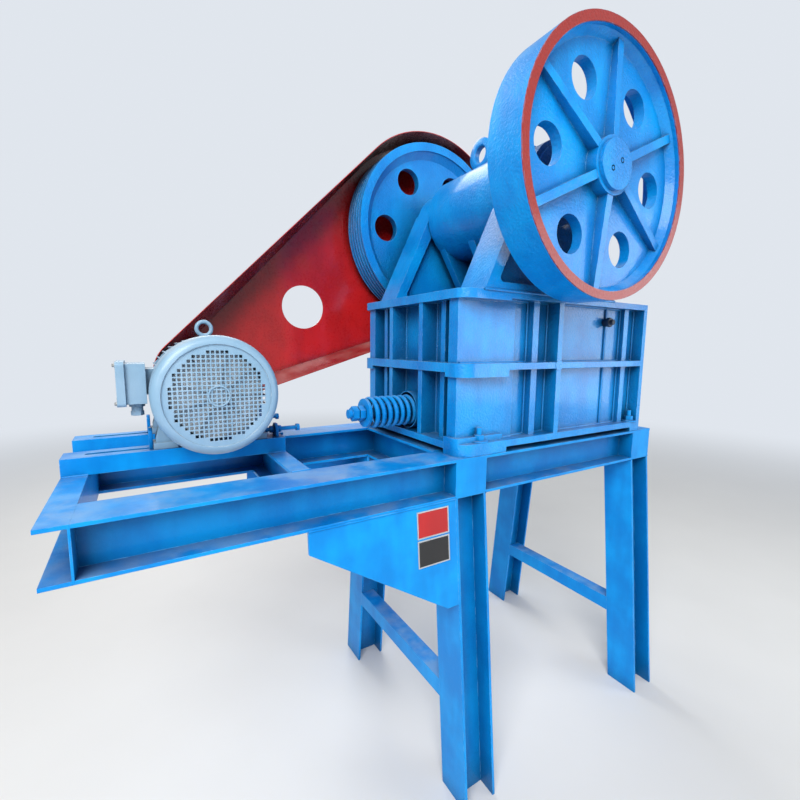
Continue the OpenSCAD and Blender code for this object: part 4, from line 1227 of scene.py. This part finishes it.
def folded_pan(centre: Vector) -> Accent:
    """Accent that paints sheen and highlights on the inside of the guard's leaning wall and paints shade into the
    fold at its back plate.

    Args:
        centre: Middle of the guard.

    Returns:
        A function that tints a colour.
    """
    sheen_red, highlight_pink, recess_shade = (0.24, 0.035, 0.040), (0.46, 0.25, 0.25), (0.030, 0.004, 0.005)
    wall_share, fold_share, fold_reach = 0.8, 0.9, 65 * MM

    def tint(paint: Painter, colour: object) -> object:
        """Mixes the painted highlights and the fold's painted shade over the given colour."""
        normal = paint.normal()
        outward = paint.vector("SUBTRACT", paint.coords, tuple(centre))
        facing = Sock(paint.tree, paint.vector("DOT_PRODUCT", normal, outward.outputs[0]).outputs["Value"])
        inside = (0 - facing).step(0.0, 0.02)
        across = Sock(paint.tree, paint.node("ShaderNodeSeparateXYZ", Vector=normal).outputs["Y"])
        wall = 1 - (across * across).step(0.2, 0.6)
        # Painted highlights: pale pinkish streaks over a lighter red stand in for sheen on the inside of the wall.
        highlight_streaks = paint.noise(6, 5, (1, 0.5, 1)).step(0.46, 0.64)
        colour = paint.mix(wall * inside * wall_share, colour, paint.mix(highlight_streaks, sheen_red, highlight_pink))
        # Painted shade: dark red in the fold where the wall meets the back plate.
        fold = paint.corners(fold_reach).step(0.06, 0.26) * inside
        return paint.mix(fold * fold_share, colour, recess_shade)

    return tint


def enamels() -> dict[str, Enamel]:
    """Every painted finish by the name that the assemblies use."""
    wheel_low, wheel_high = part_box("flywheel")
    centre = ((wheel_low.x + wheel_high.x) / 2, (wheel_low.z + wheel_high.z) / 2)
    rim_w = 27 * MM
    rim_r = (wheel_high.x - wheel_low.x) / 2 - rim_w
    guard_low, guard_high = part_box("belt_guard")
    blue = {"colour": (0.0005, 0.345, 0.87), "shade": (0.0005, 0.235, 0.70), "bare": (0.20, 0.50, 0.82)}
    red = {"colour": (0.58, 0.013, 0.014), "shade": (0.41, 0.009, 0.010), "bare": (0.55, 0.22, 0.20)}
    return {
        # The recess_shade values on these finishes paint shade into corners and recesses.
        "blue": Enamel("blue_enamel", **blue, specular=0.2, coat=0.12, recess_shade=0.85),
        "cast_blue": Enamel("cast_blue_enamel", **blue, grain=12.0, roughness=0.24, coat=0.4, recess_shade=0.9,
                            recess=240 * MM, specular=0.4),
        "wheel": Enamel("flywheel_enamel", **blue, grain=9.0, roughness=0.25, coat=0.3, recess_shade=0.95,
                        specular=0.3, accent=red_rim(wheel_low, rim_r, centre)),
        "motor": Enamel("motor_enamel", colour=(0.32, 0.49, 0.65), shade=(0.22, 0.39, 0.55),
                        bare=(0.60, 0.68, 0.75), grain=0.5, recess_shade=0.4, roughness=0.36, coat=0.2, wear=0.4),
        "fan": Enamel("fan_plastic", colour=(0.66, 0.71, 0.76), shade=(0.55, 0.61, 0.67), bare=(0.7, 0.7, 0.7),
                      grain=0.1, dusty=0.1),
        "guard": Enamel("guard_enamel", **red, dust=(0.46, 0.20, 0.18), roughness=0.20, coat=0.7, grain=0.3,
                        dusty=0.4, accent=folded_pan((guard_low + guard_high) / 2)),
        "plate_red": Enamel("plate_red", colour=(0.50, 0.008, 0.010), shade=(0.42, 0.006, 0.008),
                            bare=(0.7, 0.4, 0.4), grain=0.1, dusty=0.1),
        "plate_dark": Enamel("plate_dark", colour=(0.012, 0.012, 0.014), shade=(0.008, 0.008, 0.009),
                             bare=(0.4, 0.4, 0.4), grain=0.1, dusty=0.1),
    }


def metals() -> dict[str, BareMetal]:
    """Every bare finish by the name that the assemblies use."""
    return {
        "plate_pale": BareMetal("plate_pale", (0.78, 0.79, 0.80), (0.5, 0.5, 0.5), roughness=0.35, stained=0.2),
        "jaw": BareMetal("manganese_steel", (0.20, 0.20, 0.21), (0.12, 0.07, 0.045), roughness=0.55, grain=70,
                         metallic=0.7),
        "machined": BareMetal("turned_steel", (0.50, 0.51, 0.53), (0.20, 0.17, 0.14), roughness=0.28,
                              stretch=(1, 0.05, 1)),
        "dark": BareMetal("oiled_steel", (0.055, 0.07, 0.10), (0.03, 0.03, 0.035), roughness=0.30, metallic=0.8),
        "zinc": BareMetal("zinc_plate", (0.60, 0.61, 0.60), (0.35, 0.30, 0.22), roughness=0.35, stained=0.35),
    }


def paint_nodes(paints: dict[str, bpy.types.Material]) -> None:
    """Gives every CAD node the finish of its slot, castings and the flywheel their own."""
    for row in frame["record"]["subparts"]:
        name = row["node"]
        paint = SLOT_PAINTS[Slot(row["material_slot"])]
        if name in CAST_NODES:
            paint = "cast_blue"
        if name == "flywheel":
            paint = "wheel"
        mesh = frame["nodes"][name].data
        mesh.materials.clear()
        mesh.materials.append(paints[paint])


def main() -> None:
    """Builds the scene in order."""
    logging.basicConfig(level=logging.INFO, format="%(message)s")
    bpy.context.scene.view_settings.view_transform = "Standard"
    Studio().build()
    paints = {name: finish.build() for name, finish in (enamels() | metals()).items()}
    paint_nodes(paints)
    shop = Workshop(paints)
    for assembly in (Motor(shop), Stand(shop), Crusher(shop)):
        assembly.build()


if __name__ == "__main__":
    main()
